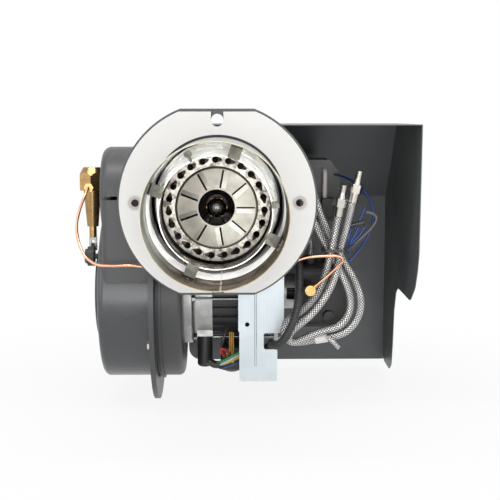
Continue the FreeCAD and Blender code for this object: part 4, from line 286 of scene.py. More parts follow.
# every plain finish of the burner, in linear colour
finishes = {
    "housingPaint": {"colour": (0.060, 0.061, 0.063), "second": (0.074, 0.075, 0.077), "rough": 0.40,
                     "patchScale": 14.0, "grainScale": 1400.0, "grainHeight": 0.00005, "grainTone": 0.20,
                     "dust": 0.10, "roughSpread": 0.04},
    "plateDark": {"colour": (0.050, 0.052, 0.054), "second": (0.085, 0.086, 0.086), "rough": 0.42,
                  "patchScale": 40.0, "grainScale": 1200.0, "grainHeight": 0.00006, "dust": 0.15},
    "controlPlastic": {"colour": (0.024, 0.024, 0.024), "second": (0.034, 0.033, 0.032), "rough": 0.38,
                       "grainScale": 2200.0, "grainHeight": 0.00004, "dust": 0.12},
    "blackPlastic": {"colour": (0.022, 0.022, 0.023), "second": (0.034, 0.034, 0.035), "rough": 0.42,
                     "grainScale": 1800.0, "grainHeight": 0.00005, "dust": 0.08},
    "motorPaint": {"colour": (0.022, 0.023, 0.025), "second": (0.040, 0.041, 0.043), "rough": 0.45,
                   "grainScale": 1100.0, "grainHeight": 0.0001, "dust": 0.10},
    "pumpPaint": {"colour": (0.012, 0.012, 0.012), "second": (0.024, 0.023, 0.022), "rough": 0.46,
                  "grainScale": 1500.0, "grainHeight": 0.00009, "dust": 0.15},
    "redPlastic": {"colour": (0.42, 0.02, 0.015), "second": (0.36, 0.02, 0.015), "rough": 0.22,
                   "grainScale": 900.0, "grainHeight": 0.00002, "coat": 0.4},
    "whitePlastic": {"colour": (0.82, 0.82, 0.80), "second": (0.74, 0.73, 0.70), "rough": 0.42,
                     "grainScale": 900.0, "grainHeight": 0.00003},
    "castAlloy": {"colour": (0.60, 0.60, 0.59), "second": (0.44, 0.44, 0.43), "rough": 0.42, "metal": 0.85,
                  "patchScale": 60.0, "grainScale": 1300.0, "grainHeight": 0.00012, "grainTone": 0.25},
    # partly soot and partly painted shade: alloy darkened for the parts behind the disc
    "carrierAlloy": {"colour": (0.10, 0.096, 0.09), "second": (0.055, 0.052, 0.048), "rough": 0.45,
                     "metal": 0.9, "grainScale": 1200.0, "grainHeight": 0.0001},
    "zincPlate": {"colour": (0.66, 0.65, 0.62), "second": (0.56, 0.52, 0.44), "rough": 0.24, "metal": 1.0,
                  "patchScale": 90.0, "grainScale": 1500.0, "grainHeight": 0.00003, "grainTone": 0.12},
    "rodSteel": {"colour": (0.36, 0.37, 0.36), "second": (0.27, 0.28, 0.27), "rough": 0.26, "metal": 1.0,
                 "patchScale": 60.0, "grainScale": 700.0, "grainHeight": 0.00003, "stretch": (0.05, 1, 1)},
    "ramBrass": {"colour": (0.42, 0.275, 0.120), "second": (0.30, 0.19, 0.080), "rough": 0.27, "metal": 1.0,
                 "patchScale": 55.0, "grainScale": 900.0, "grainHeight": 0.00004, "grainTone": 0.18,
                 "grainColour": (0.20, 0.11, 0.04)},
    "fittingBrass": {"colour": (0.62, 0.43, 0.18), "second": (0.42, 0.27, 0.11), "rough": 0.24, "metal": 1.0,
                     "patchScale": 90.0, "grainScale": 900.0, "grainHeight": 0.00003},
    # partly soot and partly painted shade: brass darkened for the holder behind the disc
    "holderBrass": {"colour": (0.30, 0.155, 0.055), "second": (0.16, 0.085, 0.035), "rough": 0.30,
                    "metal": 1.0, "patchScale": 60.0, "grainScale": 800.0, "grainHeight": 0.00004},
    "nozzleSteel": {"colour": (0.20, 0.195, 0.19), "second": (0.10, 0.098, 0.095), "rough": 0.11,
                    "metal": 1.0, "patchScale": 120.0, "grainScale": 1200.0, "grainHeight": 0.00001,
                    "roughSpread": 0.02},
    "drumPaint": {"colour": (0.086, 0.088, 0.091), "second": (0.100, 0.102, 0.105), "rough": 0.28,
                  "metal": 0.45, "patchScale": 14.0, "grainScale": 1400.0, "grainHeight": 0.00005,
                  "grainTone": 0.20, "dust": 0.02, "roughSpread": 0.03},
    # partly soot and partly painted shade: ceramics darkened behind the disc
    "ceramicGlaze": {"colour": (0.16, 0.15, 0.14), "second": (0.07, 0.065, 0.06), "rough": 0.20,
                     "grainScale": 500.0, "grainHeight": 0.00002, "coat": 0.5},
    "wheelZinc": {"colour": (0.58, 0.59, 0.60), "second": (0.47, 0.48, 0.49), "rough": 0.36, "metal": 1.0,
                  "patchScale": 120.0, "grainScale": 700.0, "grainHeight": 0.00004},
    "copperTube": {"colour": (0.86, 0.47, 0.31), "second": (0.70, 0.34, 0.21), "rough": 0.20, "metal": 1.0,
                   "patchScale": 45.0, "grainScale": 600.0, "grainHeight": 0.00002, "grainTone": 0.08,
                   "grainColour": (0.25, 0.08, 0.04)},
    "strapSteel": {"colour": (0.115, 0.115, 0.095), "second": (0.055, 0.052, 0.042), "rough": 0.30,
                   "metal": 0.95, "patchScale": 90.0, "grainScale": 1300.0, "grainHeight": 0.00006},
}
materials = {name: coatedFinish(name, look) for name, look in finishes.items()}
print("plain finishes made")


def fromAxis(tree, aside, up):
    # the way across from an axis that runs along Y
    return addNode(tree, "ShaderNodeCombineXYZ", {"X": aside, "Y": 0.0, "Z": up}).outputs[0]


def facingOut(tree, place):
    # 1 where a face looks away from the tube's axis, -1 where it looks at it
    away = vectorNode(tree, "NORMALIZE", fromAxis(tree, place["X"], place["Z"]))
    return vectorNode(tree, "DOT_PRODUCT", away, faceNormal(tree))


# how far a face looks outward where a wall's inside colours end and its outside colours begin
wallTurn = (-0.2, 0.2)
# the mouth's direction, and what is kept of the wall's own direction beside it
towardsMouth = (0.0, -1.0, 0.0)
wallShare = (0.22, 0.22, 0.22)


def turnedToMouth(tree, normal, share):
    # fine turned ridges face the mouth of the tube, so the wall shines towards it
    slight = vectorNode(tree, "MULTIPLY", faceNormal(tree), wallShare)
    forward = vectorNode(tree, "ADD", slight, towardsMouth)
    mixed = addNode(tree, "ShaderNodeMix", {0: share, 4: normal, 5: forward}, data_type="VECTOR")
    return vectorNode(tree, "NORMALIZE", mixed.outputs[1])


# in every look a tone is scale, low and high, and a grain is scale, height and stretch
tubeLook = {
    "outside": (0.44, 0.43, 0.41),
    "pale": (0.60, 0.61, 0.58),
    "stain": (0.25, 0.21, 0.165),
    "stainDark": (0.075, 0.060, 0.048),
    # partly clean steel and partly painted light: the pale band inside the tube
    "cleanLitBand": (0.80, 0.79, 0.77),
    # the inner wall deep in the tube, below its middle, is painted near black
    "farDark": (0.050, 0.046, 0.044),
    "rimTint": (0.36, 0.30, 0.18),
    "rimShare": 0.75,
    "seamTint": (0.62, 0.58, 0.50),
    "seamShare": 0.6,
    "mottle": (55.0, 0.36, 0.66),
    "grain": (900.0, 0.00005, (1, 0.12, 1)),
    "grainTone": 0.35,
    "lean": 0.5,
    "lowSide": (-0.02, 0.055),
    "edgeWobble": 0.004,
    "cleanLitEdge": (-0.119, -0.115),
    "farDarkEdge": (-0.062, -0.056),
    "farDarkTop": (0.050, 0.020),
    "rimDepth": -0.2025,
    "seamPlace": 0.006,
    "seamHalf": 0.0011,
    "stainRidges": 0.45,
    "rough": (0.32, 0.50),
    "metal": 0.75,
}


def tubeFinish(look):
    material, tree, shader = blankMaterial("tubeSteel")
    place = splitVector(tree, objectPlace(tree))
    mottle = useTone(tree, *look["mottle"])
    fine = useGrain(tree, *look["grain"])
    stained = blendColours(tree, mottle, look["stain"], look["stainDark"])
    stained = blendColours(tree, times(tree, fine["Mask"], look["grainTone"]), stained, look["stainDark"])
    # the heat marks lie low and on the right, the upper left stays pale
    lean = mathNode(tree, "SUBTRACT", times(tree, place["X"], look["lean"]), place["Z"])
    stained = blendColours(tree, rampBetween(tree, lean, *look["lowSide"]), look["pale"], stained)
    shifted = mathNode(tree, "ADD", place["Y"], times(tree, mottle, look["edgeWobble"]))
    # partly clean steel and partly painted light: a pale band round the inner wall, standing in for light
    # that falls there
    cleanLitMask = rampBetween(tree, shifted, *look["cleanLitEdge"])
    # deep in the tube and below its middle the wall is painted near black
    farDarkMask = times(tree, rampBetween(tree, shifted, *look["farDarkEdge"]),
                     rampBetween(tree, place["Z"], *look["farDarkTop"]))
    inside = blendColours(tree, cleanLitMask, stained, look["cleanLitBand"])
    inside = blendColours(tree, farDarkMask, inside, look["farDark"])
    low = mathNode(tree, "LESS_THAN", place["Z"], 0.0)
    fromSeam = mathNode(tree, "ABSOLUTE", mathNode(tree, "SUBTRACT", place["X"], look["seamPlace"]))
    seam = times(tree, mathNode(tree, "LESS_THAN", fromSeam, look["seamHalf"]), low)
    inside = blendColours(tree, times(tree, seam, look["seamShare"]), inside, look["seamTint"])
    outer = rampBetween(tree, facingOut(tree, place), *wallTurn)
    colour = blendColours(tree, outer, inside, look["outside"])
    rim = mathNode(tree, "LESS_THAN", place["Y"], look["rimDepth"])
    colour = blendColours(tree, times(tree, rim, look["rimShare"]), colour, look["rimTint"])
    bare = times(tree, mathNode(tree, "SUBTRACT", 1.0, farDarkMask), mathNode(tree, "SUBTRACT", 1.0, outer))
    share = times(tree, spreadTo(tree, cleanLitMask, look["stainRidges"], 1.0), bare)
    normal = turnedToMouth(tree, fine["Normal"], share)
    connectShader(tree, shader, colour, normal, (mottle, *look["rough"]), look["metal"])
    return material


sleeveLook = {
    "inside": (0.44, 0.38, 0.31),
    "fleck": (0.84, 0.81, 0.76),
    "fleckShare": 0.55,
    "dark": (0.07, 0.055, 0.045),
    "outside": (0.86, 0.86, 0.83),
    "shade": (0.50, 0.49, 0.46),
    "shadeShare": 0.30,
    "rim": (0.80, 0.77, 0.72),
    "rimDepth": -0.1492,
    "mottle": (48.0, 0.40, 0.60),
    "flecks": (130.0, 0.50, 0.62),
    "grain": (800.0, 0.00006, (1, 0.15, 1)),
    # painted shade: the inside darkens near the disc
    "shadedDepth": (-0.080, -0.070),
    # painted shade: a dark line where the sleeve meets its flange
    "groove": -0.076,
    "shadeLineHalf": 0.0022,
    "shadeLineSharp": 0.3,
    "shadeLineShare": 0.7,
    "ridged": (0.2, 0.9),
    "rough": (0.20, 0.42),
    "metal": 0.90,
}


def sleeveFinish(look):
    material, tree, shader = blankMaterial("sleeveSteel")
    place = splitVector(tree, objectPlace(tree))
    mottle = useTone(tree, *look["mottle"])
    flecks = useTone(tree, *look["flecks"])
    fine = useGrain(tree, *look["grain"])
    inside = blendColours(tree, mottle, look["inside"], look["dark"])
    inside = blendColours(tree, times(tree, flecks, look["fleckShare"]), inside, look["fleck"])
    # painted shade: the inside is darkened deep in the sleeve, near the disc
    inside = blendColours(tree, rampBetween(tree, place["Y"], *look["shadedDepth"]), inside, look["dark"])
    outside = blendColours(tree, times(tree, mottle, look["shadeShare"]), look["outside"], look["shade"])
    # painted shade: a dark line round the outside where the sleeve meets its flange
    fromShadeLine = mathNode(tree, "ABSOLUTE", mathNode(tree, "SUBTRACT", place["Y"], look["groove"]))
    groove = rampBetween(tree, fromShadeLine, look["shadeLineHalf"], look["shadeLineHalf"] * look["shadeLineSharp"])
    outside = blendColours(tree, times(tree, groove, look["shadeLineShare"]), outside, look["shade"])
    outward = facingOut(tree, place)
    colour = blendColours(tree, rampBetween(tree, outward, *wallTurn), inside, outside)
    front = mathNode(tree, "LESS_THAN", place["Y"], look["rimDepth"])
    colour = blendColours(tree, front, colour, look["rim"])
    share = rampBetween(tree, outward, *look["ridged"])
    normal = turnedToMouth(tree, fine["Normal"], share)
    connectShader(tree, shader, colour, normal, (mottle, *look["rough"]), look["metal"])
    return material


discLook = {
    "sheet": (0.29, 0.28, 0.245),
    "shade": (0.25, 0.24, 0.205),
    "stain": (0.085, 0.066, 0.050),
    # bright is the outer ring's own metal and also the painted highlight on the vanes
    "bright": (0.44, 0.42, 0.38),
    # painted shade on the left half of the disc
    "paintedLeftShade": (0.125, 0.118, 0.100),
    "leftShadeReach": (0.030, -0.030),
    "leftShadeShare": 0.85,
    "patches": (30.0, 0.36, 0.66),
    "spots": (110.0, 0.46, 0.60),
    "grain": (1100.0, 0.00004, (1, 1, 0.1)),
    "grainTone": 0.22,
    "ringEdge": (0.0525, 0.0545),
    "ringShare": 0.8,
    "vaneReach": (0.0245, 0.0505),
    "pressedEdge": (0.990, 0.960),
    "frontFacing": 0.3,
    "vaneRidges": 0.85,
    "rough": (0.26, 0.40),
    "metal": 0.9,
}


def discFinish(look):
    material, tree, shader = blankMaterial("discSteel")
    place = splitVector(tree, objectPlace(tree))
    soft = useTone(tree, *look["patches"])
    fine = useGrain(tree, *look["grain"])
    sheet = blendColours(tree, soft, look["sheet"], look["shade"])
    sheet = blendColours(tree, times(tree, fine["Mask"], look["grainTone"]), sheet, look["shade"])
    ring = blendColours(tree, useTone(tree, *look["spots"]), look["bright"], look["stain"])
    # painted highlight: the tilted pressed edges of the vanes are painted bright, as where light falls on
    # them
    faced = vectorNode(tree, "DOT_PRODUCT", faceNormal(tree), towardsMouth)
    reach = vectorNode(tree, "LENGTH", fromAxis(tree, place["X"], place["Z"]))
    inner, rim = look["vaneReach"]
    banded = times(tree, mathNode(tree, "GREATER_THAN", reach, inner),
                   mathNode(tree, "LESS_THAN", reach, rim))
    pressed = times(tree, rampBetween(tree, faced, *look["pressedEdge"]), banded)
    vaneHighlight = times(tree, pressed, mathNode(tree, "GREATER_THAN", faced, look["frontFacing"]))
    sheet = blendColours(tree, vaneHighlight, sheet, look["bright"])
    # painted shade: the left half of the disc is painted darker, standing in for the dimmer reflection on
    # that side
    leftShade = rampBetween(tree, place["X"], *look["leftShadeReach"])
    sheet = blendColours(tree, times(tree, leftShade, look["leftShadeShare"]), sheet, look["paintedLeftShade"])
    outer = rampBetween(tree, reach, *look["ringEdge"])
    colour = blendColours(tree, times(tree, outer, look["ringShare"]), sheet, ring)
    normal = turnedToMouth(tree, fine["Normal"], times(tree, vaneHighlight, look["vaneRidges"]))
    connectShader(tree, shader, colour, normal, (soft, *look["rough"]), look["metal"])
    return material


gasketLook = {
    "board": (0.71, 0.705, 0.685),
    "worn": (0.74, 0.73, 0.70),
    "fibre": (0.50, 0.48, 0.45),
    "fibreShare": 0.10,
    "mark": (0.40, 0.33, 0.29),
    "markShare": 0.75,
    "holeReach": 0.112,
    "markEdge": (0.0125, 0.0060),
    "broad": (18.0, 0.35, 0.70),
    "grain": (1500.0, 0.00012),
    "rough": (0.78, 0.90),
}


def gasketFinish(look):
    # pale fibre board, marked where washers have pressed round the two side holes
    material, tree, shader = blankMaterial("gasketBoard")
    place = splitVector(tree, objectPlace(tree))
    broad = useTone(tree, *look["broad"])
    fine = useGrain(tree, *look["grain"])
    colour = blendColours(tree, broad, look["board"], look["worn"])
    colour = blendColours(tree, times(tree, fine["Mask"], look["fibreShare"]), colour, look["fibre"])
    aside = mathNode(tree, "SUBTRACT", mathNode(tree, "ABSOLUTE", place["X"]), look["holeReach"])
    mark = rampBetween(tree, vectorNode(tree, "LENGTH", fromAxis(tree, aside, place["Z"])), *look["markEdge"])
    colour = blendColours(tree, times(tree, mark, look["markShare"]), colour, look["mark"])
    connectShader(tree, shader, colour, fine["Normal"], (broad, *look["rough"]))
    return material


bracketLook = {
    "pale": (0.66, 0.71, 0.73),
    "cool": (0.50, 0.56, 0.59),
    "streak": (0.30, 0.33, 0.35),
    "streakShare": 0.16,
    "broad": (9.0, 0.30, 0.70),
    "grain": (500.0, 0.00003, (1, 1, 0.04)),
    "rough": (0.28, 0.44),
    "metal": 0.55,
}


def bracketFinish(look):
    material, tree, shader = blankMaterial("bracketSheet")
    fine = useGrain(tree, *look["grain"])
    colour = blendColours(tree, useTone(tree, *look["broad"]), look["pale"], look["cool"])
    colour = blendColours(tree, times(tree, fine["Mask"], look["streakShare"]), colour, look["streak"])
    connectShader(tree, shader, colour, fine["Normal"], (fine["Mask"], *look["rough"]), look["metal"])
    return material


hoodLook = {
    "coat": (0.135, 0.144, 0.147),
    "second": (0.108, 0.117, 0.120),
    "pit": (0.02, 0.022, 0.024),
    "pitShare": 0.20,
    "dust": (0.22, 220.0),
    "dustColour": (0.40, 0.39, 0.37),
    "broad": (6.0, 0.30, 0.72),
    "grain": (1100.0, 0.00010),
    "rough": (0.35, 0.46),
}


def hoodFinish(look):
    material, tree, shader = blankMaterial("hoodCoat")
    broad = useTone(tree, *look["broad"])
    fine = useGrain(tree, *look["grain"])
    colour = blendColours(tree, broad, look["coat"], look["second"])
    colour = blendColours(tree, times(tree, fine["Mask"], look["pitShare"]), colour, look["pit"])
    colour = blendColours(tree, useDust(tree, *look["dust"]), colour, look["dustColour"])
    connectShader(tree, shader, colour, fine["Normal"], (broad, *look["rough"]))
    return material


braidLook = {
    "bright": (0.95, 0.94, 0.92),
    "second": 0.78,
    "gap": (0.022, 0.021, 0.020),
    "strands": 8.0,
    "pitch": 0.0044,
    "height": 0.0007,
    "relief": 0.9,
    "tone": (60.0, 0.35, 0.7),
    "rough": (0.26, 0.38),
    "metal": 0.9,
}


def braidFinish(look):
    material, tree, shader = blankMaterial("hoseBraid")
    weave = useGroup(tree, braidGroup, {"Strands": look["strands"], "Pitch": look["pitch"]}).outputs
    tone = useTone(tree, *look["tone"])
    wire = blendColours(tree, tone, look["bright"], tuple(look["second"] * value for value in look["bright"]))
    colour = blendColours(tree, weave["Gap"], look["gap"], wire)
    bump = addNode(tree, "ShaderNodeBump", {"Height": weave["Height"], "Distance": look["height"],
                                            "Strength": look["relief"]})
    connectShader(tree, shader, colour, bump.outputs[0], (tone, *look["rough"]), look["metal"])
    return material


glassLook = {"tint": (0.86, 0.90, 0.90, 1), "grain": (200.0, 0.00002), "rough": 0.06, "clear": 0.85}


def clearFinish(look):
    material, tree, shader = blankMaterial("sightGlass")
    fine = useGrain(tree, *look["grain"])
    tree.links.new(fine["Normal"], shader.inputs["Normal"])
    shader.inputs["Base Color"].default_value = look["tint"]
    shader.inputs["Roughness"].default_value = look["rough"]
    shader.inputs["Transmission Weight"].default_value = look["clear"]
    return material


materials["tubeSteel"] = tubeFinish(tubeLook)
materials["sleeveSteel"] = sleeveFinish(sleeveLook)
materials["discSteel"] = discFinish(discLook)
materials["gasketBoard"] = gasketFinish(gasketLook)
materials["bracketSheet"] = bracketFinish(bracketLook)
materials["hoodCoat"] = hoodFinish(hoodLook)
materials["hoseBraid"] = braidFinish(braidLook)
materials["sightGlass"] = clearFinish(glassLook)

leadLook = {"rough": 0.34, "grainScale": 500.0, "grainHeight": 0.00003, "grainTone": 0.06, "coat": 0.15}
leadSecond = 0.82
leadColours = {
    "blueLead": (0.009, 0.045, 0.21),
    "greyLead": (0.070, 0.072, 0.074),
    "whiteLead": (0.80, 0.70, 0.68),
    "redLead": (0.50, 0.010, 0.012),
    "greenLead": (0.02, 0.30, 0.08),
    "yellowLead": (0.78, 0.55, 0.03),
    "paleLead": (0.74, 0.74, 0.72),
    "amberLead": (0.60, 0.30, 0.030),
    "blackLead": (0.020, 0.020, 0.021),
}
for leadName, leadColour in leadColours.items():
    darker = tuple(leadSecond * value for value in leadColour)
    materials[leadName] = coatedFinish(leadName, {**leadLook, "colour": leadColour, "second": darker})
print("special finishes made")


finishNodes = {
    "gasketBoard": ["flange_gasket"],
    "plateDark": ["flange_plate", "ram_bracket"],
    "tubeSteel": ["blast_tube"],
    "sleeveSteel": ["head_sleeve"],
    "strapSteel": ["sleeve_straps"],
    "discSteel": ["diffuser_disc"],
    "carrierAlloy": ["disc_carrier", "electrode_clamp"],
    "nozzleSteel": ["nozzle"],
    "holderBrass": ["nozzle_holder"],
    "ceramicGlaze": ["electrode_ceramics"],
    "rodSteel": ["electrode_rods", "ram_rod", "motor_shaft", "tie_rods"],
    "zincPlate": ["hex_screws", "cover_screws", "hood_posts", "hose_ends"],
    "housingPaint": ["head_body", "rear_cover", "scroll_right", "inlet_ring", "inlet_cover",
                     "intake_housing"],
    "drumPaint": ["scroll_left"],
    "sightGlass": ["sight_glass"],
    "blackPlastic": ["flame_sensor", "damper", "drive_coupling", "motor_plug", "capacitor", "control_plug",
                     "hose_tie"],
    "ramBrass": ["ram_body"],
    "wheelZinc": ["fan_wheel"],
    "castAlloy": ["motor_plate", "motor_end_shield", "motor_rear_shield", "pump_hub"],
    "motorPaint": ["motor_body"],
    "fittingBrass": ["terminal_tabs", "pipe_fittings"],
    "pumpPaint": ["oil_pump", "pump_cover"],
    "copperTube": ["copper_pipe"],
    "controlPlastic": ["control_base", "control_box", "ignition_transformer"],
    "redPlastic": ["reset_button"],
    "bracketSheet": ["support_bracket"],
    "hoodCoat": ["hood"],
    "whitePlastic": ["hose_sleeve"],
}


def dressNode(node, material):
    slots = cadNodes[node].data.materials
    slots.clear()
    slots.append(material)


for finishName, nodeNames in finishNodes.items():
    for nodeName in nodeNames:
        dressNode(nodeName, materials[finishName])
print("nodes dressed")


# cords, hoses and leads
splineSettings = {"order": 3, "steps": 10, "roundSteps": 4}


def splineObject(name, route):
    curve = bpy.data.curves.new(name, "CURVE")
    curve.dimensions = "3D"
    spline = curve.splines.new("NURBS")
    spline.points.add(len(route) - 1)
    for point, place in zip(spline.points, route):
        point.co = (*place, 1)
    spline.order_u = splineSettings["order"]
    spline.use_endpoint_u = True
    spline.resolution_u = splineSettings["steps"]
    return addObject(name, curve)


def takeMesh(thing):
    # the finished mesh of an object, which is then removed
    shot = thing.evaluated_get(bpy.context.evaluated_depsgraph_get())
    mesh = bpy.data.meshes.new_from_object(shot)
    bpy.data.objects.remove(thing)
    return mesh


def splineLine(name, route):
    mesh = takeMesh(splineObject(name + "Line", route))
    points = [vertex.co.copy() for vertex in mesh.vertices]
    bpy.data.meshes.remove(mesh)
    return points


def sweepTube(name, points, radius, sides, material):
    # rings carried along the line without twist, unwrapped along and around
    mesh = bpy.data.meshes.new(name)
    shape = bmesh.new()
    unwrap = shape.loops.layers.uv.new("alongAround")
    lead = (points[1] - points[0]).normalized()
    side = lead.orthogonal().normalized()
    rings = []
    travelled = [0.0]
    for index, point in enumerate(points):
        before = points[max(index - 1, 0)]
        after = points[min(index + 1, len(points) - 1)]
        heading = (after - before).normalized()
        side = (side - heading * side.dot(heading)).normalized()
        across = heading.cross(side)
        if index:
            travelled.append(travelled[-1] + (point - points[index - 1]).length)
        row = []
        for step in range(sides):
            angle = 2 * math.pi * step / sides
            row.append(shape.verts.new(point + (side * math.cos(angle) + across * math.sin(angle)) * radius))
        rings.append(row)
    for index in range(len(rings) - 1):
        for step in range(sides):
            following = (step + 1) % sides
            face = shape.faces.new((rings[index][step], rings[index][following],
                                    rings[index + 1][following], rings[index + 1][step]))
            face.smooth = True
            corners = ((index, step), (index, step + 1), (index + 1, step + 1), (index + 1, step))
            for loop, (ringIndex, stepIndex) in zip(face.loops, corners):
                loop[unwrap].uv = (travelled[ringIndex], stepIndex / sides)
    shape.faces.new(list(reversed(rings[0])))
    shape.faces.new(rings[-1])
    bmesh.ops.recalc_face_normals(shape, faces=shape.faces)
    shape.to_mesh(mesh)
    shape.free()
    mesh.materials.append(material)
    return addObject(name, mesh)


hoseSettings = {"diameter": 0.011, "sides": 28}
outerHoseRoute = [
    (0.138, 0.15, -0.092), (0.138, 0.15, -0.075), (0.1335, 0.142, -0.057), (0.125, 0.127, -0.04),
    (0.116, 0.121, -0.019), (0.109, 0.117, 0.003), (0.107, 0.107, 0.024), (0.111, 0.09, 0.038),
    (0.119, 0.071, 0.039), (0.128, 0.055, 0.027), (0.136, 0.047, 0.006), (0.144, 0.046, -0.019),
    (0.157, 0.053, -0.046), (0.17, 0.06, -0.071), (0.182, 0.062, -0.093), (0.194, 0.0625, -0.112),
    (0.2035, 0.063, -0.135), (0.205, 0.064, -0.158), (0.197, 0.065, -0.18), (0.181, 0.066, -0.195),
    (0.159, 0.067, -0.2005), (0.138, 0.068, -0.204), (0.117, 0.07, -0.2085), (0.103, 0.071, -0.207),
    (0.094, 0.071, -0.196), (0.096, 0.07, -0.182), (0.107, 0.068, -0.17), (0.129, 0.0635, -0.153),
    (0.1455, 0.058, -0.128), (0.154, 0.05, -0.099), (0.16, 0.045, -0.07), (0.164, 0.04, -0.046),
    (0.168, 0.036, -0.021)]
innerHoseRoute = [
    (0.166, 0.15, -0.092), (0.166, 0.15, -0.076), (0.162, 0.143, -0.059), (0.152, 0.131, -0.047),
    (0.14, 0.123, -0.038), (0.13, 0.116, -0.025), (0.122, 0.107, -0.008), (0.118, 0.095, 0.008),
    (0.12, 0.079, 0.017), (0.124, 0.064, 0.01), (0.129, 0.054, -0.008), (0.136, 0.051, -0.032),
    (0.147, 0.054, -0.054), (0.1585, 0.059, -0.073), (0.169, 0.0595, -0.092), (0.178, 0.06, -0.111),
    (0.187, 0.0605, -0.131), (0.1905, 0.061, -0.152), (0.185, 0.062, -0.172), (0.172, 0.062, -0.185),
    (0.154, 0.062, -0.189), (0.137, 0.061, -0.194), (0.121, 0.058, -0.2015), (0.108, 0.055, -0.2055),
    (0.099, 0.048, -0.2), (0.102, 0.0425, -0.188), (0.114, 0.043, -0.1775), (0.13, 0.044, -0.165),
    (0.148, 0.046, -0.144), (0.162, 0.0475, -0.12), (0.17, 0.0475, -0.094), (0.173, 0.046, -0.07),
    (0.1782, 0.0405, -0.047), (0.1833, 0.037, -0.024), (0.188, 0.034, -0.0014)]


def makeHose(name, route, node):
    line = splineLine(name, route)
    hose = sweepTube(name, line, hoseSettings["diameter"] / 2, hoseSettings["sides"], materials["hoseBraid"])
    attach(hose, "burner")
    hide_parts(node)


makeHose("outerHose", outerHoseRoute, "hose_outer")
makeHose("innerHose", innerHoseRoute, "hose_inner")
print("braided hoses made")


conduitSettings = {"diameter": 0.0122, "pitch": 0.0034, "depth": 0.0009, "step": 0.00057, "sides": 24}
conduitRoute = [
    (0.1015, 0.146, -0.054), (0.1015, 0.146, -0.066), (0.103, 0.134, -0.077), (0.107, 0.115, -0.081),
    (0.111, 0.093, -0.083), (0.115, 0.071, -0.09), (0.1155, 0.053, -0.107), (0.115, 0.043, -0.126),
    (0.1125, 0.034, -0.146), (0.1075, 0.028, -0.166), (0.0995, 0.027, -0.185), (0.09, 0.036, -0.202),
    (0.083, 0.053, -0.21), (0.078, 0.07, -0.211), (0.077, 0.088, -0.213), (0.0775, 0.104, -0.218),
    (0.075, 0.118, -0.225), (0.068, 0.1285, -0.23), (0.06, 0.1285, -0.23)]


def corrugationTree():
    # a tube whose radius rises and falls along the curve it follows
    tree, start, end = startGroup(
        "corrugatedTube", "GeometryNodeTree",
        {"Geometry": "Geometry", "Radius": "Float", "Depth": "Float", "Pitch": "Float", "Step": "Float",
         "Sides": "Int", "Finish": "Material"},
        {"Geometry": "Geometry"})
    even = addNode(tree, "GeometryNodeResampleCurve", {"Curve": start["Geometry"], "Length": start["Step"]},
                   mode="LENGTH")
    along = addNode(tree, "GeometryNodeSplineParameter")
    angle = times(tree, mathNode(tree, "DIVIDE", along.outputs["Length"], start["Pitch"]), 2 * math.pi)
    # the wave runs from 0 down to -2, and half of it times the depth goes off the radius
    lowered = mathNode(tree, "ADD", mathNode(tree, "SINE", angle), -1.0)
    radius = mathNode(tree, "ADD", start["Radius"], times(tree, times(tree, lowered, start["Depth"]), 0.5))
    circle = addNode(tree, "GeometryNodeCurvePrimitiveCircle", {"Resolution": start["Sides"], "Radius": 1.0})
    sized = addNode(tree, "GeometryNodeSetCurveRadius", {"Curve": even.outputs[0], "Radius": radius})
    reading = addNode(tree, "GeometryNodeInputRadius")
    tube = addNode(tree, "GeometryNodeCurveToMesh", {
        "Curve": sized.outputs[0], "Profile Curve": circle.outputs[0], "Scale": reading.outputs[0],
        "Fill Caps": True})
    real = addNode(tree, "GeometryNodeRealizeInstances", {"Geometry": tube.outputs[0]})
    finish = addNode(tree, "GeometryNodeSetMaterial", {"Geometry": real.outputs[0],
                                                       "Material": start["Finish"]})
    tree.links.new(finish.outputs[0], end[0])
    return tree


def setInput(modifier, tree, name, value):
    for item in tree.interface.items_tree:
        if item.item_type == "SOCKET" and item.in_out == "INPUT" and item.name == name:
            modifier[item.identifier] = value


def smoothFaces(piece):
    for face in piece.data.polygons:
        face.use_smooth = True


def makeConduit(name, route, settings):
    tree = corrugationTree()
    source = splineObject(name + "Source", route)
    modifier = source.modifiers.new("corrugate", "NODES")
    modifier.node_group = tree
    setInput(modifier, tree, "Radius", settings["diameter"] / 2)
    setInput(modifier, tree, "Finish", materials["blackPlastic"])
    for title in ("Depth", "Pitch", "Step", "Sides"):
        setInput(modifier, tree, title, settings[title.lower()])
    mesh = takeMesh(source)
    mesh.name = name
    piece = addObject(name, mesh)
    smoothFaces(piece)
    line = splineLine(name, route)
    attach(piece, "burner")
    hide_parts("conduit")


makeConduit("corrugatedConduit", conduitRoute, conduitSettings)
print("conduit made")


def makeLead(name, route, diameter, finish, node=None):
    lead = splineObject(name, route)
    lead.data.bevel_depth = diameter / 2
    lead.data.bevel_resolution = splineSettings["roundSteps"]
    lead.data.use_fill_caps = True
    lead.data.materials.append(materials[finish])
    line = splineLine(name, route)
    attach(lead, "burner")
    if node:
        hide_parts(node)


blueRoute = [
    (0.172, 0.136, 0.031), (0.1725, 0.124, 0.032), (0.176, 0.11, 0.0315), (0.184, 0.097, 0.029),
    (0.195, 0.086, 0.024), (0.205, 0.077, 0.016), (0.213, 0.07, 0.005), (0.219, 0.064, -0.008),
    (0.221, 0.06, -0.023), (0.2185, 0.058, -0.038), (0.213, 0.058, -0.053), (0.204, 0.06, -0.068),
    (0.195, 0.063, -0.08), (0.1875, 0.064, -0.089)]
greyRoute = [
    (0.1835, 0.05, -0.071), (0.191, 0.048, -0.064), (0.2, 0.046, -0.055), (0.21, 0.045, -0.046),
    (0.219, 0.044, -0.036), (0.224, 0.044, -0.026), (0.219, 0.044, -0.018), (0.209, 0.045, -0.017)]
whiteRoute = [
    (0.1566, 0.127, -0.0025), (0.1566, 0.127, 0.014), (0.157, 0.1275, 0.03), (0.1566, 0.13, 0.038),
    (0.1566, 0.136, 0.038)]

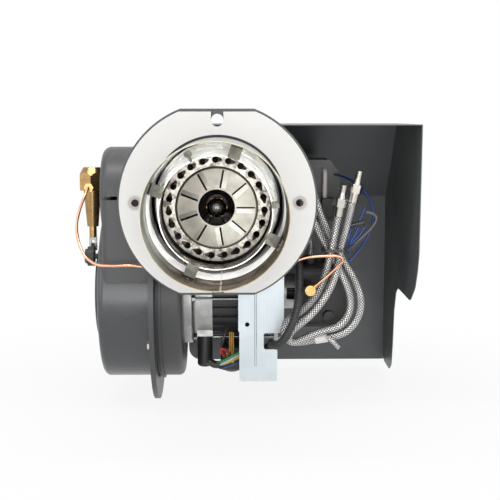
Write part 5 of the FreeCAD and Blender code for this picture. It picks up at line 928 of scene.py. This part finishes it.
# short leads of the motor, and the blue leads that are tied to the hoses
motorLeads = [
    ("greenMotorLead", "greenLead", [
        (-0.004, 0.104, -0.2455), (0.0, 0.098, -0.244), (0.0083, 0.0935, -0.2398), (0.02, 0.0935, -0.2336),
        (0.03, 0.098, -0.229)]),
    ("paleMotorLead", "paleLead", [
        (0.0, 0.106, -0.25), (0.006, 0.099, -0.2462), (0.0166, 0.0965, -0.2398), (0.03, 0.1, -0.233)]),
    ("yellowMotorLead", "yellowLead", [
        (-0.001, 0.108, -0.251), (0.008, 0.103, -0.2478), (0.0166, 0.1005, -0.2435), (0.03, 0.104, -0.238)]),
    ("blueMotorLead", "blueLead", [
        (0.001, 0.104, -0.2545), (0.008, 0.0995, -0.2518), (0.0175, 0.098, -0.249), (0.03, 0.101, -0.2445)]),
    ("redMotorLead", "redLead", [
        (0.008, 0.106, -0.237), (0.005, 0.1005, -0.232), (0.0022, 0.0985, -0.2265), (0.0038, 0.099, -0.2235),
        (0.0085, 0.0995, -0.225), (0.015, 0.102, -0.232)]),
    ("blackMotorLead", "blackLead", [
        (0.011, 0.105, -0.193), (0.0095, 0.101, -0.2), (0.0065, 0.099, -0.208), (0.004, 0.0995, -0.217),
        (0.003, 0.106, -0.224), (0.003, 0.114, -0.228)]),
]
tiedLeads = [
    ("firstTiedLead", [
        (0.185, 0.05, -0.077), (0.1835, 0.046, -0.069), (0.1832, 0.0455, -0.061), (0.184, 0.045, -0.051),
        (0.188, 0.045, -0.041)]),
    ("secondTiedLead", [
        (0.1855, 0.047, -0.075), (0.185, 0.0425, -0.0665), (0.1875, 0.0425, -0.057), (0.1935, 0.0425, -0.048),
        (0.1968, 0.0425, -0.039)]),
    ("thirdTiedLead", [
        (0.186, 0.049, -0.074), (0.1865, 0.045, -0.066), (0.191, 0.0455, -0.0575), (0.2015, 0.0455, -0.048),
        (0.2071, 0.0455, -0.0375)]),
    ("tiedStub", [
        (0.1925, 0.047, -0.042), (0.1965, 0.047, -0.035), (0.2, 0.047, -0.027), (0.204, 0.047, -0.018),
        (0.2071, 0.047, -0.0102)]),
]
leadDiameters = {"blue": 0.0034, "grey": 0.005, "white": 0.0072, "motor": 0.0036, "tied": 0.0034}
ribbonSettings = {"diameter": 0.0023, "places": (0.0158, 0.0184, 0.021),
                  "drop": [(0.112, -0.201), (0.1105, -0.211), (0.11, -0.221), (0.1115, -0.232)]}
stubSides = 20
# name, diameter, finish, slot and route of the short stiff pieces
stiffEnds = [
    ("leadBoot", 0.0115, "blackLead", "black_plastic", [
        (-0.015, 0.108, -0.244), (-0.01, 0.106, -0.248), (-0.0045, 0.105, -0.2495), (0.001, 0.104, -0.249)]),
    ("shrinkSleeve", 0.0063, "blackLead", "black_plastic", [
        (0.1855, 0.045, -0.0355), (0.192, 0.045, -0.0342), (0.199, 0.045, -0.0328), (0.206, 0.045, -0.0312)]),
    ("tieTail", 0.0052, "blackLead", "black_plastic", [
        (0.18, 0.04, -0.07), (0.184, 0.0385, -0.068), (0.188, 0.0375, -0.0655), (0.1925, 0.037, -0.0635)]),
    ("hoseTail", 0.0066, "hoseBraid", "hose_braid", [
        (0.156, 0.06, -0.1975), (0.162, 0.059, -0.2025), (0.168, 0.0585, -0.2085), (0.1738, 0.058, -0.2145)]),
]

makeLead("blueWire", blueRoute, leadDiameters["blue"], "blueLead", node="blue_wire")
makeLead("greyCable", greyRoute, leadDiameters["grey"], "greyLead", node="grey_cable")
makeLead("whiteCable", whiteRoute, leadDiameters["white"], "whiteLead",
         node="white_cable")
for leadName, leadFinish, leadRoute in motorLeads:
    makeLead(leadName, leadRoute, leadDiameters["motor"], leadFinish)
for leadName, leadRoute in tiedLeads:
    makeLead(leadName, leadRoute, leadDiameters["tied"], "blueLead")
for number, across in enumerate(ribbonSettings["places"]):
    strandRoute = [(across, *place) for place in ribbonSettings["drop"]]
    stiffEnds.append((f"amberStrand{number + 1}", ribbonSettings["diameter"], "amberLead", "grey_lead",
                      strandRoute))
for endName, endDiameter, endFinish, endSlot, endRoute in stiffEnds:
    stub = sweepTube(endName, splineLine(endName, endRoute), endDiameter / 2, stubSides, materials[endFinish])
    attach(stub, "burner")
print("leads made")


# weld spots on the straps that hold the sleeve
spotSettings = {"radius": 0.0021, "height": 0.0005, "angles": (246.5, 334.0), "reach": 0.0852,
                "depth": -0.1662, "segments": (16, 8)}


def makeSpots(settings):
    shape = bmesh.new()
    for angle in settings["angles"]:
        turn = math.radians(angle)
        outward = Vector((math.cos(turn), 0, math.sin(turn)))
        place = outward * settings["reach"] + Vector((0, settings["depth"], 0))
        tilt = (-outward).to_track_quat("Z", "Y").to_matrix().to_4x4()
        flatten = Matrix.Diagonal((settings["radius"], settings["radius"], settings["height"], 1))
        around, down = settings["segments"]
        bmesh.ops.create_uvsphere(shape, u_segments=around, v_segments=down, radius=1.0,
                                  matrix=Matrix.Translation(place) @ tilt @ flatten)
    mesh = bpy.data.meshes.new("strapWeldSpots")
    shape.to_mesh(mesh)
    shape.free()
    mesh.materials.append(materials["copperTube"])
    piece = addObject("strapWeldSpots", mesh)
    smoothFaces(piece)
    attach(piece, "burner")


makeSpots(spotSettings)
print("weld spots made")


# floor, backdrop and light
roomSettings = {
    "floorLevel": -0.314,
    "floorSize": 12.0,
    "floorTone": (0.86, 0.86, 0.86, 1),
    "floorRough": 0.8,
    "shadowCentre": (0.03, 0.08),
    "fadeStart": 0.25,
    "fadeEnd": 0.85,
    "nearGlow": 0.88,
    "worldTint": (0.93, 0.95, 1.0, 1),
    "worldStrength": 0.38,
    # name, place, target, width, height and power of every lamp
    "lamps": [
        ("frontKey", (-0.15, -1.15, 1.15), (0.0, 0.0, -0.08), 1.3, 0.9, 3.0),
        ("frontFill", (0.10, -2.10, 0.10), (0.05, 0.0, -0.03), 1.5, 1.0, 13.0),
        ("topStrip", (-0.10, -0.52, 1.32), (-0.10, 0.0, -0.05), 1.6, 0.14, 13.0),
        ("lowFill", (0.25, -1.25, -0.16), (0.22, 0.25, 0.10), 1.1, 0.22, 2.0),
        ("topSoftbox", (0.10, 0.15, 1.45), (0.0, 0.1, -0.05), 1.6, 1.2, 3.0),
        ("leftSoftbox", (-1.35, -0.75, 0.35), (-0.05, 0.1, -0.08), 0.9, 1.2, 4.5),
        ("rightSoftbox", (1.30, -0.95, 0.45), (0.08, 0.05, -0.05), 0.8, 1.1, 3.5),
    ],
}


def seenDirectly(tree):
    # 1 for rays from the camera and for those that mirror-like or clear surfaces send on
    path = addNode(tree, "ShaderNodeLightPath")
    seen = mathNode(tree, "MAXIMUM", path.outputs["Is Camera Ray"], path.outputs["Is Transmission Ray"])
    return mathNode(tree, "MAXIMUM", seen, path.outputs["Is Glossy Ray"])


def makeFloor(settings):
    # pale floor that keeps a faint shadow near the burner and fades to white round it
    half = settings["floorSize"] / 2
    mesh = bpy.data.meshes.new("paleFloor")
    corners = [(-half, -half), (half, -half), (half, half), (-half, half)]
    mesh.from_pydata([(x, y, settings["floorLevel"]) for x, y in corners], [], [(0, 1, 2, 3)])
    floor = addObject("paleFloor", mesh)
    material, tree, shader = blankMaterial("paleFloor")
    shader.inputs["Base Color"].default_value = settings["floorTone"]
    shader.inputs["Roughness"].default_value = settings["floorRough"]
    shadowCentre = (*settings["shadowCentre"], settings["floorLevel"])
    away = vectorNode(tree, "DISTANCE", objectPlace(tree), shadowCentre)
    fade = addNode(tree, "ShaderNodeMapRange", {
        "Value": away, "From Min": settings["fadeStart"], "From Max": settings["fadeEnd"],
        "To Min": settings["nearGlow"], "To Max": 1.0}, interpolation_type="SMOOTHSTEP")
    share = times(tree, seenDirectly(tree), fade.outputs["Result"])
    glow = addNode(tree, "ShaderNodeEmission", {"Color": (1, 1, 1, 1), "Strength": 1.0})
    mixed = addNode(tree, "ShaderNodeMixShader", {0: share, 1: shader.outputs[0], 2: glow.outputs[0]})
    tree.links.new(mixed.outputs[0], tree.nodes["Material Output"].inputs["Surface"])
    mesh.materials.append(material)


def makeWorld(settings):
    world = bpy.data.worlds.new("studioWorld")
    bpy.context.scene.world = world
    world.use_nodes = True
    tree = world.node_tree
    plain = tree.nodes["Background"]
    plain.inputs["Color"].default_value = settings["worldTint"]
    plain.inputs["Strength"].default_value = settings["worldStrength"]
    white = addNode(tree, "ShaderNodeBackground", {"Color": (1, 1, 1, 1), "Strength": 1.0})
    mixed = addNode(tree, "ShaderNodeMixShader",
                    {0: seenDirectly(tree), 1: plain.outputs[0], 2: white.outputs[0]})
    tree.links.new(mixed.outputs[0], tree.nodes["World Output"].inputs["Surface"])


def makeLamps(settings):
    for name, place, target, width, height, energy in settings["lamps"]:
        data = bpy.data.lights.new(name, "AREA")
        data.shape = "RECTANGLE"
        data.size = width
        data.size_y = height
        data.energy = energy
        lamp = addObject(name, data)
        lamp.location = place
        lamp.rotation_euler = (Vector(target) - Vector(place)).to_track_quat("-Z", "Y").to_euler()


makeFloor(roomSettings)
makeWorld(roomSettings)
makeLamps(roomSettings)
bpy.context.scene.view_settings.view_transform = "Standard"
print("stage and light made")
